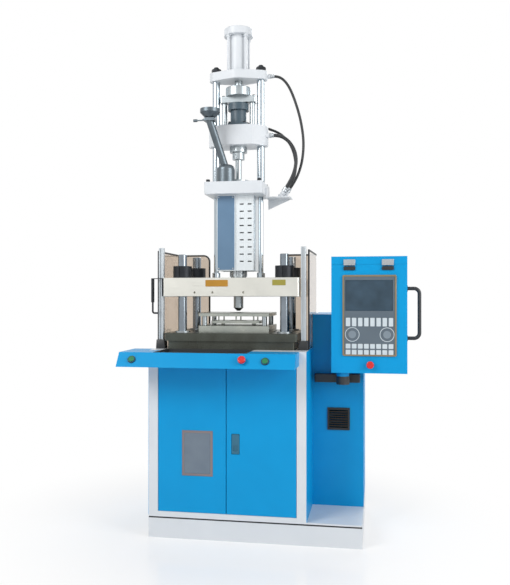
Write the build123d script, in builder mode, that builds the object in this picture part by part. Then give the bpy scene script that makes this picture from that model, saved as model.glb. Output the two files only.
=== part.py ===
from build123d import *
import math
import os

# Vertical injection moulding machine, in millimetres, +Z up and +Y to the back.
# The origin is on the floor, straight below the injection axis. A white and blue
# base cabinet carries the fixed platen. The moving platen above it hangs on four
# tie bars, which a ram and a tail plate pull down from inside the cabinet. The
# injection unit stands on the moving platen: its carriage lifts off the mould on
# two guide rods, and its block, motor and screw are pushed down by the cylinder.

os.makedirs("parts", exist_ok=True)

# Clearances that more than one pair of pieces share
running_fit = 0.05  # radial play of a rod, bar, pin or stem in its bore
seat_fit = 0.02  # radial play of a bush in its seat
free_gap = 0.3  # between pieces that only face or pass each other
door_gap = 1.5  # round doors and folded panels
edge_break = 2.0  # chamfer on machined edges

# Base cabinet: plinth, frame, panels and deck
cabinet_width = 850.0
cabinet_depth = 800.0
cabinet_front = -340.0
side_unit_width = 284.0
plinth_height = 120.0
plinth_cap = 8.0
plinth_groove = 8.0
anchor_spacing_x = 750.0
anchor_spacing_y = 700.0
anchor_radius = 8.0
anchor_depth = 60.0
post_width = 50.0
post_wall = 5.0
sill_height = 21.0
head_height = 12.0
rail_width = 30.0
bolster_bottom = 940.0
bolster_thickness = 45.0
bolster_clearance = 7.0
deck_top = 1000.0
deck_sheet = 3.0
panel_sheet = 2.0
panel_return = 14.0
louvre_length = 220.0
louvre_width = 10.0
louvre_pitch = 40.0
louvre_rows = 8
louvre_spacing = 330.0

# Front doors, inspection window and paddle latch
leaf_sheet = 2.0
leaf_depth = 18.0
leaf_bend = 3.0
hinge_inset = 5.5
hinge_pin_radius = 3.0
hinge_pin_hold = 8.0
window_x = -155.5
window_z = 457.0
window_width = 167.0
window_height = 240.0
window_border = 12.0
window_stand = 3.0
window_set_back = 1.5
latch_x = 50.0
latch_z = 512.0
paddle_width = 40.0
paddle_height = 104.0
paddle_thickness = 8.0
paddle_round = 6.0
paddle_clearance = 2.0
finger_width = 26.0
finger_height = 30.0
finger_depth = 5.0
cup_sheet = 2.0
cup_depth = 16.0
latch_pin_radius = 3.0
latch_pin_drop = 7.0

# Control apron, its buttons and the drip tray
apron_left = -535.0
apron_right = 385.0
apron_bottom = 928.0
apron_top_reach = 150.0
apron_slant = 50.0
apron_sheet = 3.0
wing_back = -240.0
tray_left = -343.0
tray_right = 123.0
tray_front = -476.0
tray_back = -254.0
tray_depth = 14.0
tray_sheet = 2.0
tray_rim = 10.0
tray_clearance = 2.0
left_button_x = -458.0
right_button_x = 235.0
apron_stop_x = 118.0
button_radius = 15.0
button_height = 6.0
button_travel = 4.0
collar_wall = 5.0
collar_height = 6.0
stem_radius = 5.0
stem_length = 22.0
stop_radius = 20.0
stop_height = 14.0
stop_round = 6.0
stop_travel = 6.0
stop_neck = 12.0
stop_collar_height = 4.0

# Fixed platen, tie bar bushes and the tool
foot_half_x = 350.0
foot_half_y = 235.0
foot_height = 60.0
fixed_half_x = 365.0
fixed_half_y = 250.0
fixed_thickness = 43.0
platen_corner = 12.0
tie_spacing_x = 574.0
tie_spacing_y = 320.0
tie_radius = 25.0
bush_wall = 9.0
bush_flange_wall = 8.0
bush_flange_height = 8.0
tool_bolt_x = 440.0
tool_bolt_y = 430.0
tool_bolt_radius = 8.0
tool_bolt_depth = 32.0
tool_half_x = 200.0
tool_half_y = 150.0
tool_corner = 6.0
lower_tool_thickness = 38.0
pillar_radius = 14.0
pillar_length = 51.0
pillar_inset = 30.0
stripper_thickness = 19.0
stripper_opening = 55.0
ejector_half_x = 140.0
ejector_half_y = 90.0
ejector_thickness = 14.0
ejector_rest = 10.0
ejector_opening = 50.0
ejector_pin_radius = 4.0
ejector_pin_length = 40.0
ejector_pin_x = 100.0
ejector_pin_y = 140.0
ejector_rod_radius = 10.0
ejector_rod_spacing = 180.0
ejector_rod_length = 76.0
ejector_pocket_clearance = 2.0

# Clamp: moving platen, tie bars, tail plate, ram and cylinder
daylight = 199.0
moving_half_x = 375.0
moving_half_y = 250.0
moving_thickness = 102.0
moving_round = 10.0
nozzle_opening = 55.0
tie_top_reach = 131.0
tie_bottom_reach = 50.0
upper_nut_radius = 52.0
upper_nut_height = 66.0
upper_nut_notches = 4
lower_nut_radius = 45.0
lower_nut_height = 45.0
notch_width = 14.0
notch_depth = 6.0
tail_drop = 400.0
tail_thickness = 70.0
tail_half_x = 350.0
tail_half_y = 215.0
tail_corner = 40.0
ram_radius = 70.0
ram_headroom = 10.0  # free bore above the ram at rest
clamp_tube_radius = 110.0
clamp_tube_length = 300.0
clamp_tube_head = 40.0  # closed end above the bore
clamp_flange_radius = 150.0
clamp_flange_height = 25.0
front_hole_radius = 6.0
front_hole_depth = 30.0
front_hole_rise = 22.0
front_hole_x = (-195.0, -95.0, 75.0)
switch_arm_length = 65.0
switch_arm_depth = 20.0
switch_arm_sheet = 4.0
striker_width = 12.0
striker_drop = 30.0

# Guards and the grooved posts at the front corners of the deck
guard_sheet = 5.0
guard_front = -180.0
guard_back = 262.0
guard_return = 193.0
guard_height = 540.0
guard_round = 40.0
post_x = 395.0
post_y = -200.0
post_face = 27.0
post_side = 30.0
post_height = 546.0
post_round = 3.0
post_groove_width = 11.0
post_groove_depth = 6.0
post_foot_x = 40.0
post_foot_y = 44.0
post_foot_height = 9.0

# Power pack inside the cabinet
tank_gap_side = 18.0
tank_gap_front = 60.0
tank_gap_back = 38.0
tank_height = 170.0
tank_lid = 6.0
tank_lid_reach = 4.0
filler_inset_x = 70.0
filler_inset_y = 60.0
filler_radius = 26.0
filler_height = 34.0
motor_inset = 100.0
motor_flange_radius = 94.0
motor_flange_height = 10.0
motor_core_radius = 80.0
motor_fin_reach = 12.0
motor_fin_width = 4.0
motor_fins = 20
motor_body_height = 260.0
cowl_height = 40.0
cowl_taper = 8.0

# Injection carriage: rods, base, columns, crown and cylinder
rod_spacing = 260.0
rod_radius = 14.0
rod_length = 631.0
rod_collar_radius = 23.0
rod_collar_height = 34.0
carriage_rise = 466.0
carriage_half_x = 165.0
carriage_front = -165.0
carriage_back = 110.0
carriage_thickness = 69.0
carriage_corner = 15.0
column_radius = 22.5
column_height = 596.0
crown_thickness = 50.0
crown_radius = 80.0
crown_boss = 38.0
crown_port_y = 15.0
crown_port_length = 14.0
cylinder_radius = 52.0
cylinder_length = 205.0
cylinder_wall = 11.0
cap_radius = 82.5
cap_height = 40.0
cap_recess_radius = 30.0
cap_recess_depth = 8.0
stay_spacing = 100.0
stay_radius = 7.0
stay_nut_radius = 12.0
stay_nut_height = 14.0

# Barrel, heaters and cover
barrel_radius = 45.0
barrel_bore = 18.0
barrel_drop = 59.0
barrel_flange_radius = 60.0
barrel_flange_height = 26.0
nozzle_radius = 28.0
nozzle_reach = 82.0
nozzle_tip_radius = 9.0
nozzle_taper = 18.0
nozzle_seat = 10.0
nozzle_channel = 4.0
band_clearance = 0.1
band_wall = 5.0
band_length = 80.0
band_pitch = 105.0
band_start = 11.0
band_count = 4
band_slit = 3.0
band_lug_width = 18.0
band_lug_reach = 8.0
cover_half_x = 105.0
cover_front = -100.0
cover_back = 105.0
cover_rise = 43.0
cover_sheet = 2.0
cover_groove = 15.0
cover_groove_depth = 9.0
cover_slot_length = 24.0
cover_slot_height = 7.0
cover_slot_pitch = 40.0
cover_slot_rows = 9

# Feed: throat, pipe, gate housing and hopper dish
throat_x = -50.0
throat_y = -108.0
throat_radius = 50.0
throat_height = 100.0
throat_dome = 30.0
hopper_x = -128.0
hopper_y = -168.0
hopper_seat = 348.0
hopper_radius = 55.0
hopper_height = 52.0
hopper_rim_height = 20.0
hopper_wall = 2.5
feed_radius = 21.0
feed_wall = 2.5
housing_width = 60.0
housing_height = 16.0
housing_corner = 6.0
gate_width = 46.0
gate_length = 62.0
gate_thickness = 4.0
gate_clearance = 0.1
gate_tongue_length = 34.0
gate_tongue_width = 16.0
gate_knob_radius = 8.0
gate_knob_length = 22.0

# Injection block, screw motor, yoke and screw
block_rise = 218.0
block_thickness = 114.0
block_half_x = 95.0
block_half_y = 85.0
block_boss = 42.0
port_radius = 13.0
port_length = 12.0
block_port_y = -20.0
block_port_rise = 58.0
journal_radius = 30.0
shank_collar_radius = 35.0
shank_collar_height = 40.0
thrust_collar_radius = 50.0
thrust_collar_height = 32.0
screw_tip_rise = 116.0
screw_point = 24.0
motor_foot = 110.0
motor_foot_corner = 16.0
motor_foot_height = 16.0
motor_waist_radius = 46.0
motor_waist_height = 78.0
motor_head_radius = 60.0
motor_head_height = 40.0
motor_port_x = 20.0
motor_port_rise = 54.0
motor_port_reach = 70.0
yoke_half_x = 103.0
yoke_half_y = 30.0
yoke_thickness = 35.0
yoke_clearance = 5.0
yoke_disc_radius = 73.0
yoke_disc_height = 50.0
yoke_round = 5.0
yoke_rod_spacing = 160.0
yoke_rod_radius = 15.0
piston_rod_radius = 22.5
piston_height = 40.0
piston_rise = 130.0

# Hoses, and the bracket with elbow couplings that joins them to the carriage
hose_radius = 7.5
drive_hose_radius = 10.0
hose_lead = 50.0  # straight run of the thin hoses before their elbows
drive_hose_lead = 70.0  # and of the thick one
arc_share = 0.45  # of the shorter run beside a corner, taken up by the corner's arc
bracket_reach = 140.0
bracket_half_y = 56.0
bracket_sheet = 6.0
bracket_drop = 7.0
bracket_upstand = 50.0
gusset_drop = 62.0
coupling_lean = math.radians(35)
coupling_nut_radius = 15.0
coupling_nut_height = 14.0
coupling_radius = 11.0
coupling_length = 30.0
crown_coupling = (266.0, 6.0)
motor_coupling = (250.0, 38.0)
block_coupling = (248.0, -28.0)

# Side cabinet, its door and fan
side_front = -10.0
side_top = 1187.0
side_sheet = 2.0
side_lip = 15.0
side_door_depth = 9.0
side_door_trim = 1.0
fan_x = 571.0
fan_z = 605.0
fan_size = 124.0
fan_opening = 112.0
fan_depth = 6.0
fan_bars = 8
fan_bar_gap = 7.0
fan_border = 10.0

# Swivel arm and control box
arm_bottom = 813.0
arm_height = 44.0
arm_left = 440.0
arm_right = 690.0
arm_beam_depth = 50.0
arm_width = 70.0
arm_corner = 6.0
pivot_x = 600.0
pivot_y = -130.0
pivot_radius = 22.0
pivot_height = 29.0
hub_radius = 34.0
hub_height = 23.0
box_left = 542.0
box_right = 940.0
box_front = -187.0
box_back = -70.0
box_height = 620.0
box_sheet = 2.5
box_lip = 14.0
box_strip = 42.0
front_sheet = 3.0
front_gap = 1.0
front_rim = 10.0
panel_left = 604.0
panel_right = 882.0
panel_bottom = 974.0
panel_top = 1399.0
panel_thickness = 5.0
panel_corner = 6.0
screen_left = 616.0
screen_right = 866.0
screen_bottom = 1211.0
screen_top = 1375.0
screen_recess = 3.5
key_height = 1.5
key_row_z = 1152.0
key_row_count = 8
key_pitch = 32.0
key_width = 24.0
key_length = 46.0
key_corner = 3.0
pad_radius = 21.0
pad_row_z = 1086.0
pad_left_x = 653.0
pad_right_x = 835.0
small_key = 26.0
small_key_row_z = 1008.0
small_key_columns = 6
box_stop_x = 747.0
box_stop_z = 926.0
handle_radius = 10.0
handle_reach = 65.0
handle_bottom = 1065.0
handle_top = 1330.0
handle_bend = 28.0
handle_flange_radius = 17.0
handle_flange_height = 4.0

# Places and sizes that follow from those above
cabinet_half = cabinet_width / 2
cabinet_back = cabinet_front + cabinet_depth
cabinet_right = cabinet_half + side_unit_width
frame_half = cabinet_half - panel_sheet
frame_back = cabinet_back - panel_sheet
frame_depth = frame_back - cabinet_front
frame_mid_y = (frame_back + cabinet_front) / 2
opening_half = frame_half - post_width
plinth_mid = ((cabinet_right - cabinet_half) / 2, (cabinet_front + cabinet_back) / 2)
plinth_size = (cabinet_half + cabinet_right, cabinet_depth)
sill_top = plinth_height + sill_height
head_bottom = bolster_bottom - head_height
bolster_top = bolster_bottom + bolster_thickness
leaf_bottom = sill_top + door_gap
leaf_top = head_bottom - door_gap
leaf_height = leaf_top - leaf_bottom
leaf_mid_z = (leaf_top + leaf_bottom) / 2
bush_radius = tie_radius + bush_wall
tank_half_x = opening_half - tank_gap_side
tank_front = cabinet_front + tank_gap_front
tank_back = frame_back - tank_gap_back
motor_y = tank_back - motor_inset
foot_top = bolster_top + foot_height
fixed_top = foot_top + fixed_thickness
lower_tool_top = fixed_top + lower_tool_thickness
stripper_bottom = lower_tool_top + pillar_length
moving_bottom = fixed_top + daylight
moving_top = moving_bottom + moving_thickness
tail_top = bolster_bottom - tail_drop
tail_bottom = tail_top - tail_thickness
carriage_bottom = moving_top + carriage_rise
carriage_top = carriage_bottom + carriage_thickness
crown_bottom = carriage_top + column_height
crown_top = crown_bottom + crown_thickness
cylinder_top = crown_top + cylinder_length
block_bottom = carriage_top + block_rise
block_top = block_bottom + block_thickness
rod_x = rod_spacing / 2

def facing_front(y):
    """A plane across the machine at this depth, facing the front; x is X, y is Z."""
    return Plane.XZ.offset(-y)

def facing_side(x):
    """A plane along the machine at this X, facing right; its x is Y and its y is Z."""
    return Plane.YZ.offset(x)

def level(z):
    """A level plane at this height."""
    return Plane.XY.offset(z)

# Plinth: closed base with a shadow groove under its cap and four anchor holes
with BuildPart() as plinth:
    with BuildSketch():
        with Locations(plinth_mid):
            Rectangle(*plinth_size)
    extrude(amount=plinth_height)
    with BuildSketch(level(plinth_height - plinth_cap)):
        with Locations(plinth_mid):
            Rectangle(*plinth_size)
            Rectangle(
                plinth_size[0] - 2 * plinth_groove,
                plinth_size[1] - 2 * plinth_groove,
                mode=Mode.SUBTRACT,
            )
    extrude(amount=-plinth_groove, mode=Mode.SUBTRACT)
    with BuildSketch():
        with Locations((0, plinth_mid[1])):
            with GridLocations(anchor_spacing_x, anchor_spacing_y, 2, 2):
                Circle(anchor_radius)
    extrude(amount=anchor_depth, mode=Mode.SUBTRACT)
plinth.part.label = "plinth"
export_step(plinth.part, "parts/plinth.step")

# Machine frame: angle posts, sill and head rails, and the bolster plate on top
hinge_x = opening_half - door_gap - hinge_inset
hinge_y = cabinet_front + hinge_inset
hinge_spots = ((-hinge_x, hinge_y), (hinge_x, hinge_y))
with BuildPart() as machine_frame:
    with BuildSketch(level(plinth_height)):
        with Locations((0, frame_mid_y)):
            Rectangle(2 * frame_half, frame_depth)
            Rectangle(2 * (frame_half - post_wall), frame_depth - 2 * post_wall, mode=Mode.SUBTRACT)
            Rectangle(2 * opening_half, frame_depth, mode=Mode.SUBTRACT)
            Rectangle(2 * frame_half, frame_depth - 2 * post_width, mode=Mode.SUBTRACT)
    extrude(amount=bolster_bottom - plinth_height)
    for rail_bottom, rail_height in ((plinth_height, sill_height), (head_bottom, head_height)):
        with BuildSketch(level(rail_bottom)):
            with Locations((0, frame_mid_y)):
                Rectangle(2 * frame_half, frame_depth)
                Rectangle(
                    2 * (frame_half - rail_width), frame_depth - 2 * rail_width, mode=Mode.SUBTRACT
                )
        extrude(amount=rail_height)
    with BuildSketch(level(bolster_bottom)):
        with Locations((0, frame_mid_y)):
            Rectangle(2 * frame_half, frame_depth)
        with GridLocations(tie_spacing_x, tie_spacing_y, 2, 2):
            Circle(tie_radius + bolster_clearance, mode=Mode.SUBTRACT)
    extrude(amount=bolster_thickness)
    # Holes for the pins that the front doors turn on
    for rail_face, direction in ((sill_top, -1), (head_bottom, 1)):
        with BuildSketch(level(rail_face)):
            with Locations(*hinge_spots):
                Circle(hinge_pin_radius + running_fit)
        extrude(amount=direction * (hinge_pin_hold + free_gap), mode=Mode.SUBTRACT)
machine_frame.part.label = "machine_frame"
export_step(machine_frame.part, "parts/machine_frame.step")

# Side panels: a sheet on each side with a return that enters the frame opening
return_low = cabinet_front + post_width + door_gap
return_high = frame_back - post_width - door_gap
with BuildPart() as side_panels:
    with BuildSketch(level(plinth_height)):
        with Locations((frame_half + panel_sheet / 2, (cabinet_front + cabinet_back) / 2)):
            Rectangle(panel_sheet, cabinet_depth)
    extrude(amount=deck_top - plinth_height)
    with BuildSketch(facing_side(frame_half)):
        with Locations(((return_low + return_high) / 2, leaf_mid_z)):
            Rectangle(return_high - return_low, leaf_height)
            Rectangle(
                return_high - return_low - 2 * panel_sheet,
                leaf_height - 2 * panel_sheet,
                mode=Mode.SUBTRACT,
            )
    extrude(amount=-panel_return)
    mirror(about=Plane.YZ)
side_panels.part.label = "side_panels"
export_step(side_panels.part, "parts/side_panels.step")

# Rear panel: a sheet between the side panels, with air slots and the same return
with BuildPart() as rear_panel:
    with BuildSketch(facing_front(cabinet_back)):
        with Locations((0, (plinth_height + deck_top) / 2)):
            Rectangle(2 * (frame_half - free_gap), deck_top - plinth_height)
        with Locations((0, leaf_mid_z)):
            with GridLocations(louvre_spacing, louvre_pitch, 2, louvre_rows):
                SlotOverall(louvre_length, louvre_width, mode=Mode.SUBTRACT)
    extrude(amount=panel_sheet)
    with BuildSketch(facing_front(frame_back)):
        with Locations((0, leaf_mid_z)):
            Rectangle(2 * (opening_half - door_gap), leaf_height)
            Rectangle(
                2 * (opening_half - door_gap - panel_sheet),
                leaf_height - 2 * panel_sheet,
                mode=Mode.SUBTRACT,
            )
    extrude(amount=panel_return)
rear_panel.part.label = "rear_panel"
export_step(rear_panel.part, "parts/rear_panel.step")

# Deck plate: sheet over the bolster, open for the platen and the drip tray
tray_mid_x = (tray_left + tray_right) / 2
tray_cut_x = tray_right - tray_left + 2 * tray_clearance
tray_cut_back = tray_back + tray_clearance
tray_cut_front = tray_front - tray_clearance
with BuildPart() as deck_plate:
    with BuildSketch(level(bolster_top)):
        with Locations((0, frame_mid_y)):
            Rectangle(2 * frame_half, frame_depth)
    extrude(amount=deck_top - bolster_top)
    with BuildSketch(level(bolster_top)):
        with Locations((0, frame_mid_y)):
            Rectangle(2 * (frame_half - deck_sheet), frame_depth - 2 * deck_sheet)
    extrude(amount=deck_top - deck_sheet - bolster_top, mode=Mode.SUBTRACT)
    with BuildSketch(level(bolster_top)):
        Rectangle(2 * (foot_half_x + tray_clearance), 2 * (foot_half_y + tray_clearance))
        with Locations((tray_mid_x, (cabinet_front + tray_cut_back) / 2)):
            Rectangle(tray_cut_x, tray_cut_back - cabinet_front)
    extrude(amount=deck_top - bolster_top, mode=Mode.SUBTRACT)
deck_plate.part.label = "deck_plate"
export_step(deck_plate.part, "parts/deck_plate.step")

# Drip tray: pan let into the deck and the apron in front of the platen
tray_mid = (tray_mid_x, (tray_front + tray_back) / 2)
tray_size = (tray_right - tray_left, tray_back - tray_front)
with BuildPart() as drip_tray:
    with BuildSketch(level(deck_top - tray_depth)):
        with Locations(tray_mid):
            Rectangle(*tray_size)
    extrude(amount=tray_depth)
    with BuildSketch(level(deck_top)):
        with Locations(tray_mid):
            Rectangle(tray_size[0] + 2 * tray_rim, tray_size[1] + 2 * tray_rim)
    extrude(amount=tray_sheet)
    with BuildSketch(level(deck_top - tray_depth + tray_sheet)):
        with Locations(tray_mid):
            Rectangle(tray_size[0] - 2 * tray_sheet, tray_size[1] - 2 * tray_sheet)
    extrude(amount=tray_depth, mode=Mode.SUBTRACT)
drip_tray.part.label = "drip_tray"
export_step(drip_tray.part, "parts/drip_tray.step")

# Control apron: folded console with a slanting face, carried past the left side
apron_height = deck_top - apron_bottom
apron_top_y = cabinet_front - apron_top_reach
apron_bottom_y = apron_top_y - apron_slant
apron_tilt = math.atan2(apron_slant, apron_height)
face_mid_y = (apron_top_y + apron_bottom_y) / 2
face_mid_z = (deck_top + apron_bottom) / 2
wing_width = -cabinet_half - apron_left
wing_mid_x = (apron_left - cabinet_half) / 2
apron_outline = (
    (cabinet_front, apron_bottom),
    (apron_bottom_y, apron_bottom),
    (apron_top_y, deck_top),
    (cabinet_front, deck_top),
)

def apron_face(x):
    """The plane on the slanting face of the apron, centred in its height at this X."""
    normal = (0, -math.cos(apron_tilt), math.sin(apron_tilt))
    return Plane((x, face_mid_y, face_mid_z), x_dir=(1, 0, 0), z_dir=normal)

with BuildPart() as control_apron:
    with BuildSketch(facing_side(apron_left)):
        with BuildLine():
            Polyline(*apron_outline, close=True)
        make_face()
    extrude(amount=apron_right - apron_left)
    with BuildSketch(level(apron_bottom)):
        with Locations((wing_mid_x, (cabinet_front + wing_back) / 2)):
            Rectangle(wing_width, wing_back - cabinet_front)
    extrude(amount=apron_height)
    # Hollow inside the slanting profile
    with BuildSketch(facing_side(apron_left + apron_sheet)):
        with BuildLine():
            Polyline(*apron_outline, close=True)
        make_face()
        offset(amount=-apron_sheet, kind=Kind.INTERSECTION, mode=Mode.REPLACE)
    extrude(amount=apron_right - apron_left - 2 * apron_sheet, mode=Mode.SUBTRACT)
    # Hollow inside the wing, and the open back where the apron meets the frame
    with BuildSketch(level(apron_bottom + apron_sheet)):
        with Locations((wing_mid_x, (cabinet_front + wing_back) / 2 - apron_sheet)):
            Rectangle(wing_width - 2 * apron_sheet, wing_back - cabinet_front)
        with Locations(((apron_right - cabinet_half) / 2, cabinet_front)):
            Rectangle(cabinet_half + apron_right - 2 * apron_sheet, 3 * apron_sheet)
    extrude(amount=apron_height - 2 * apron_sheet, mode=Mode.SUBTRACT)
    with BuildSketch(level(deck_top - apron_sheet)):
        with Locations((tray_mid_x, (tray_cut_front + cabinet_front) / 2)):
            Rectangle(tray_cut_x, cabinet_front - tray_cut_front)
    extrude(amount=apron_sheet, mode=Mode.SUBTRACT)
    # Collars round the two push buttons and the emergency stop, and their holes
    for x in (left_button_x, right_button_x):
        with BuildSketch(apron_face(x)):
            Circle(button_radius + free_gap + collar_wall)
            Circle(button_radius + free_gap, mode=Mode.SUBTRACT)
        extrude(amount=collar_height)
        with BuildSketch(apron_face(x)):
            Circle(stem_radius + running_fit)
        extrude(amount=-2 * apron_sheet, mode=Mode.SUBTRACT)
    with BuildSketch(apron_face(apron_stop_x)):
        Circle(stop_neck + running_fit + collar_wall)
    extrude(amount=stop_collar_height)
    with BuildSketch(apron_face(apron_stop_x).offset(stop_collar_height)):
        Circle(stop_neck + running_fit)
    extrude(amount=-(stop_collar_height + 2 * apron_sheet), mode=Mode.SUBTRACT)
control_apron.part.label = "control_apron"
export_step(control_apron.part, "parts/control_apron.step")

def make_push_button(name, plane):
    """A push button: its head slides in the collar on the plane, its stem goes through."""
    with BuildPart() as button:
        with BuildSketch(plane.offset(button_travel + free_gap)):
            Circle(button_radius)
        extrude(amount=button_height)
        top_face = button.faces().sort_by(Axis(plane.origin, plane.z_dir))[-1]
        chamfer(top_face.edges(), edge_break / 2)
        with BuildSketch(plane.offset(button_travel + free_gap)):
            Circle(stem_radius)
        extrude(amount=-stem_length)
    button.part.label = name
    export_step(button.part, f"parts/{name}.step")

def make_stop_button(name, plane):
    """An emergency stop: a mushroom head on a neck that slides in the collar."""
    rest_height = stop_collar_height + stop_travel + free_gap
    with BuildPart() as button:
        with BuildSketch(plane.offset(rest_height)):
            Circle(stop_radius)
        extrude(amount=stop_height)
        top_face = button.faces().sort_by(Axis(plane.origin, plane.z_dir))[-1]
        fillet(top_face.edges(), stop_round)
        with BuildSketch(plane.offset(rest_height)):
            Circle(stop_neck)
        extrude(amount=-stem_length)
    button.part.label = name
    export_step(button.part, f"parts/{name}.step")

make_push_button("left_button", apron_face(left_button_x))
make_push_button("right_button", apron_face(right_button_x))
make_stop_button("apron_stop", apron_face(apron_stop_x))

# Front doors: two folded leaves on pin hinges, meeting at the middle
leaf_outer = opening_half - door_gap
leaf_width = leaf_outer - door_gap
leaf_mid_x = (leaf_outer + door_gap) / 2
window_opening = (window_width - 2 * window_border, window_height - 2 * window_border)

def folded_leaf(side):
    """A door leaf with folded edges and a hinge pin at each end; side is -1 or 1."""
    with BuildPart() as leaf:
        with BuildSketch(facing_front(cabinet_front)):
            with Locations((side * leaf_mid_x, leaf_mid_z)):
                Rectangle(leaf_width, leaf_height)
        extrude(amount=-leaf_depth)
        fillet(leaf.edges().filter_by(Axis.Z).group_by(Axis.Y)[0], leaf_bend)
        with BuildSketch(facing_front(cabinet_front + leaf_sheet)):
            with Locations((side * leaf_mid_x, leaf_mid_z)):
                Rectangle(leaf_width - 2 * leaf_sheet, leaf_height - 2 * leaf_sheet)
        extrude(amount=-leaf_depth, mode=Mode.SUBTRACT)
        for flange_z, direction in ((leaf_top - leaf_sheet, 1), (leaf_bottom + leaf_sheet, -1)):
            with BuildSketch(level(flange_z)):
                with Locations((side * hinge_x, hinge_y)):
                    Circle(hinge_pin_radius)
            extrude(amount=direction * (leaf_sheet + door_gap + hinge_pin_hold))
    return leaf.part

left_leaf = folded_leaf(-1)
with BuildPart() as left_door:
    add(left_leaf)
    with BuildSketch(facing_front(cabinet_front)):
        with Locations((window_x, window_z)):
            Rectangle(*window_opening)
    extrude(amount=-leaf_sheet, mode=Mode.SUBTRACT)
left_door.part.label = "left_door"
export_step(left_door.part, "parts/left_door.step")

# Inspection window: a bezel with a pane set back in it, on the left door
with BuildPart() as meter_window:
    with BuildSketch(facing_front(cabinet_front)):
        with Locations((window_x, window_z)):
            Rectangle(window_width, window_height)
    extrude(amount=window_stand)
    chamfer(meter_window.faces().sort_by(Axis.Y)[0].edges(), window_set_back)
    with BuildSketch(facing_front(cabinet_front - window_stand)):
        with Locations((window_x, window_z)):
            Rectangle(*window_opening)
    extrude(amount=-window_set_back, mode=Mode.SUBTRACT)
meter_window.part.label = "meter_window"
export_step(meter_window.part, "parts/meter_window.step")

# Right door: the same leaf with a cup behind an opening for the paddle latch
cup_opening = (paddle_width + 2 * paddle_clearance, paddle_height + 2 * paddle_clearance)
latch_pin_y = cabinet_front + paddle_thickness / 2
latch_pin_z = latch_z + paddle_height / 2 - latch_pin_drop
latch_pin_half = cup_opening[0] / 2 + cup_sheet
right_leaf = folded_leaf(1)
with BuildPart() as right_door:
    add(right_leaf)
    with BuildSketch(facing_front(cabinet_front)):
        with Locations((latch_x, latch_z)):
            Rectangle(cup_opening[0] + 2 * cup_sheet, cup_opening[1] + 2 * cup_sheet)
    extrude(amount=-(cup_depth + cup_sheet))
    with BuildSketch(facing_front(cabinet_front)):
        with Locations((latch_x, latch_z)):
            Rectangle(*cup_opening)
    extrude(amount=-cup_depth, mode=Mode.SUBTRACT)
    with BuildSketch(facing_side(latch_x)):
        with Locations((latch_pin_y, latch_pin_z)):
            Circle(latch_pin_radius + running_fit)
    extrude(amount=latch_pin_half, both=True, mode=Mode.SUBTRACT)
right_door.part.label = "right_door"
export_step(right_door.part, "parts/right_door.step")

# Paddle latch: turns outwards about a pin near its top, with a finger hollow
with BuildPart() as door_latch:
    with BuildSketch(facing_front(cabinet_front)):
        with Locations((latch_x, latch_z)):
            RectangleRounded(paddle_width, paddle_height, paddle_round)
    extrude(amount=-paddle_thickness)
    chamfer(door_latch.faces().sort_by(Axis.Y)[0].edges(), edge_break / 2)
    with BuildSketch(facing_front(cabinet_front)):
        with Locations((latch_x, latch_z - paddle_height / 2 + finger_height)):
            RectangleRounded(finger_width, finger_height, paddle_round)
    extrude(amount=-finger_depth, mode=Mode.SUBTRACT)
    with BuildSketch(facing_side(latch_x)):
        with Locations((latch_pin_y, latch_pin_z)):
            Circle(latch_pin_radius)
    extrude(amount=latch_pin_half, both=True)
door_latch.part.label = "door_latch"
export_step(door_latch.part, "parts/door_latch.step")

# Fixed platen: stepped block, bored for the tie bar bushes and the ejector rods
with BuildPart() as fixed_platen:
    with BuildSketch(level(bolster_top)):
        RectangleRounded(2 * foot_half_x, 2 * foot_half_y, platen_corner)
    extrude(amount=foot_height)
    with BuildSketch(level(foot_top)):
        RectangleRounded(2 * fixed_half_x, 2 * fixed_half_y, platen_corner)
    extrude(amount=fixed_thickness)
    chamfer(fixed_platen.faces().sort_by(Axis.Z)[-1].edges(), edge_break)
    with BuildSketch(level(bolster_top)):
        with GridLocations(tie_spacing_x, tie_spacing_y, 2, 2):
            Circle(bush_radius + seat_fit)
        with GridLocations(ejector_rod_spacing, 1, 2, 1):
            Circle(ejector_rod_radius + ejector_pocket_clearance)
    extrude(amount=foot_height + fixed_thickness, mode=Mode.SUBTRACT)
    with BuildSketch(level(fixed_top)):
        with GridLocations(tool_bolt_x, tool_bolt_y, 2, 2):
            Circle(tool_bolt_radius)
    extrude(amount=-tool_bolt_depth, mode=Mode.SUBTRACT)
fixed_platen.part.label = "fixed_platen"
export_step(fixed_platen.part, "parts/fixed_platen.step")

# Tie bar bushes: four flanged guides in the fixed platen
with BuildPart() as tie_bar_bushes:
    with BuildSketch(level(bolster_top)):
        with GridLocations(tie_spacing_x, tie_spacing_y, 2, 2):
            Circle(bush_radius)
    extrude(amount=foot_height + fixed_thickness)
    with BuildSketch(level(fixed_top)):
        with GridLocations(tie_spacing_x, tie_spacing_y, 2, 2):
            Circle(bush_radius + bush_flange_wall)
    extrude(amount=bush_flange_height)
    with BuildSketch(level(bolster_top)):
        with GridLocations(tie_spacing_x, tie_spacing_y, 2, 2):
            Circle(tie_radius + running_fit)
    extrude(amount=foot_height + fixed_thickness + bush_flange_height, mode=Mode.SUBTRACT)
tie_bar_bushes.part.label = "tie_bar_bushes"
export_step(tie_bar_bushes.part, "parts/tie_bar_bushes.step")

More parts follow.
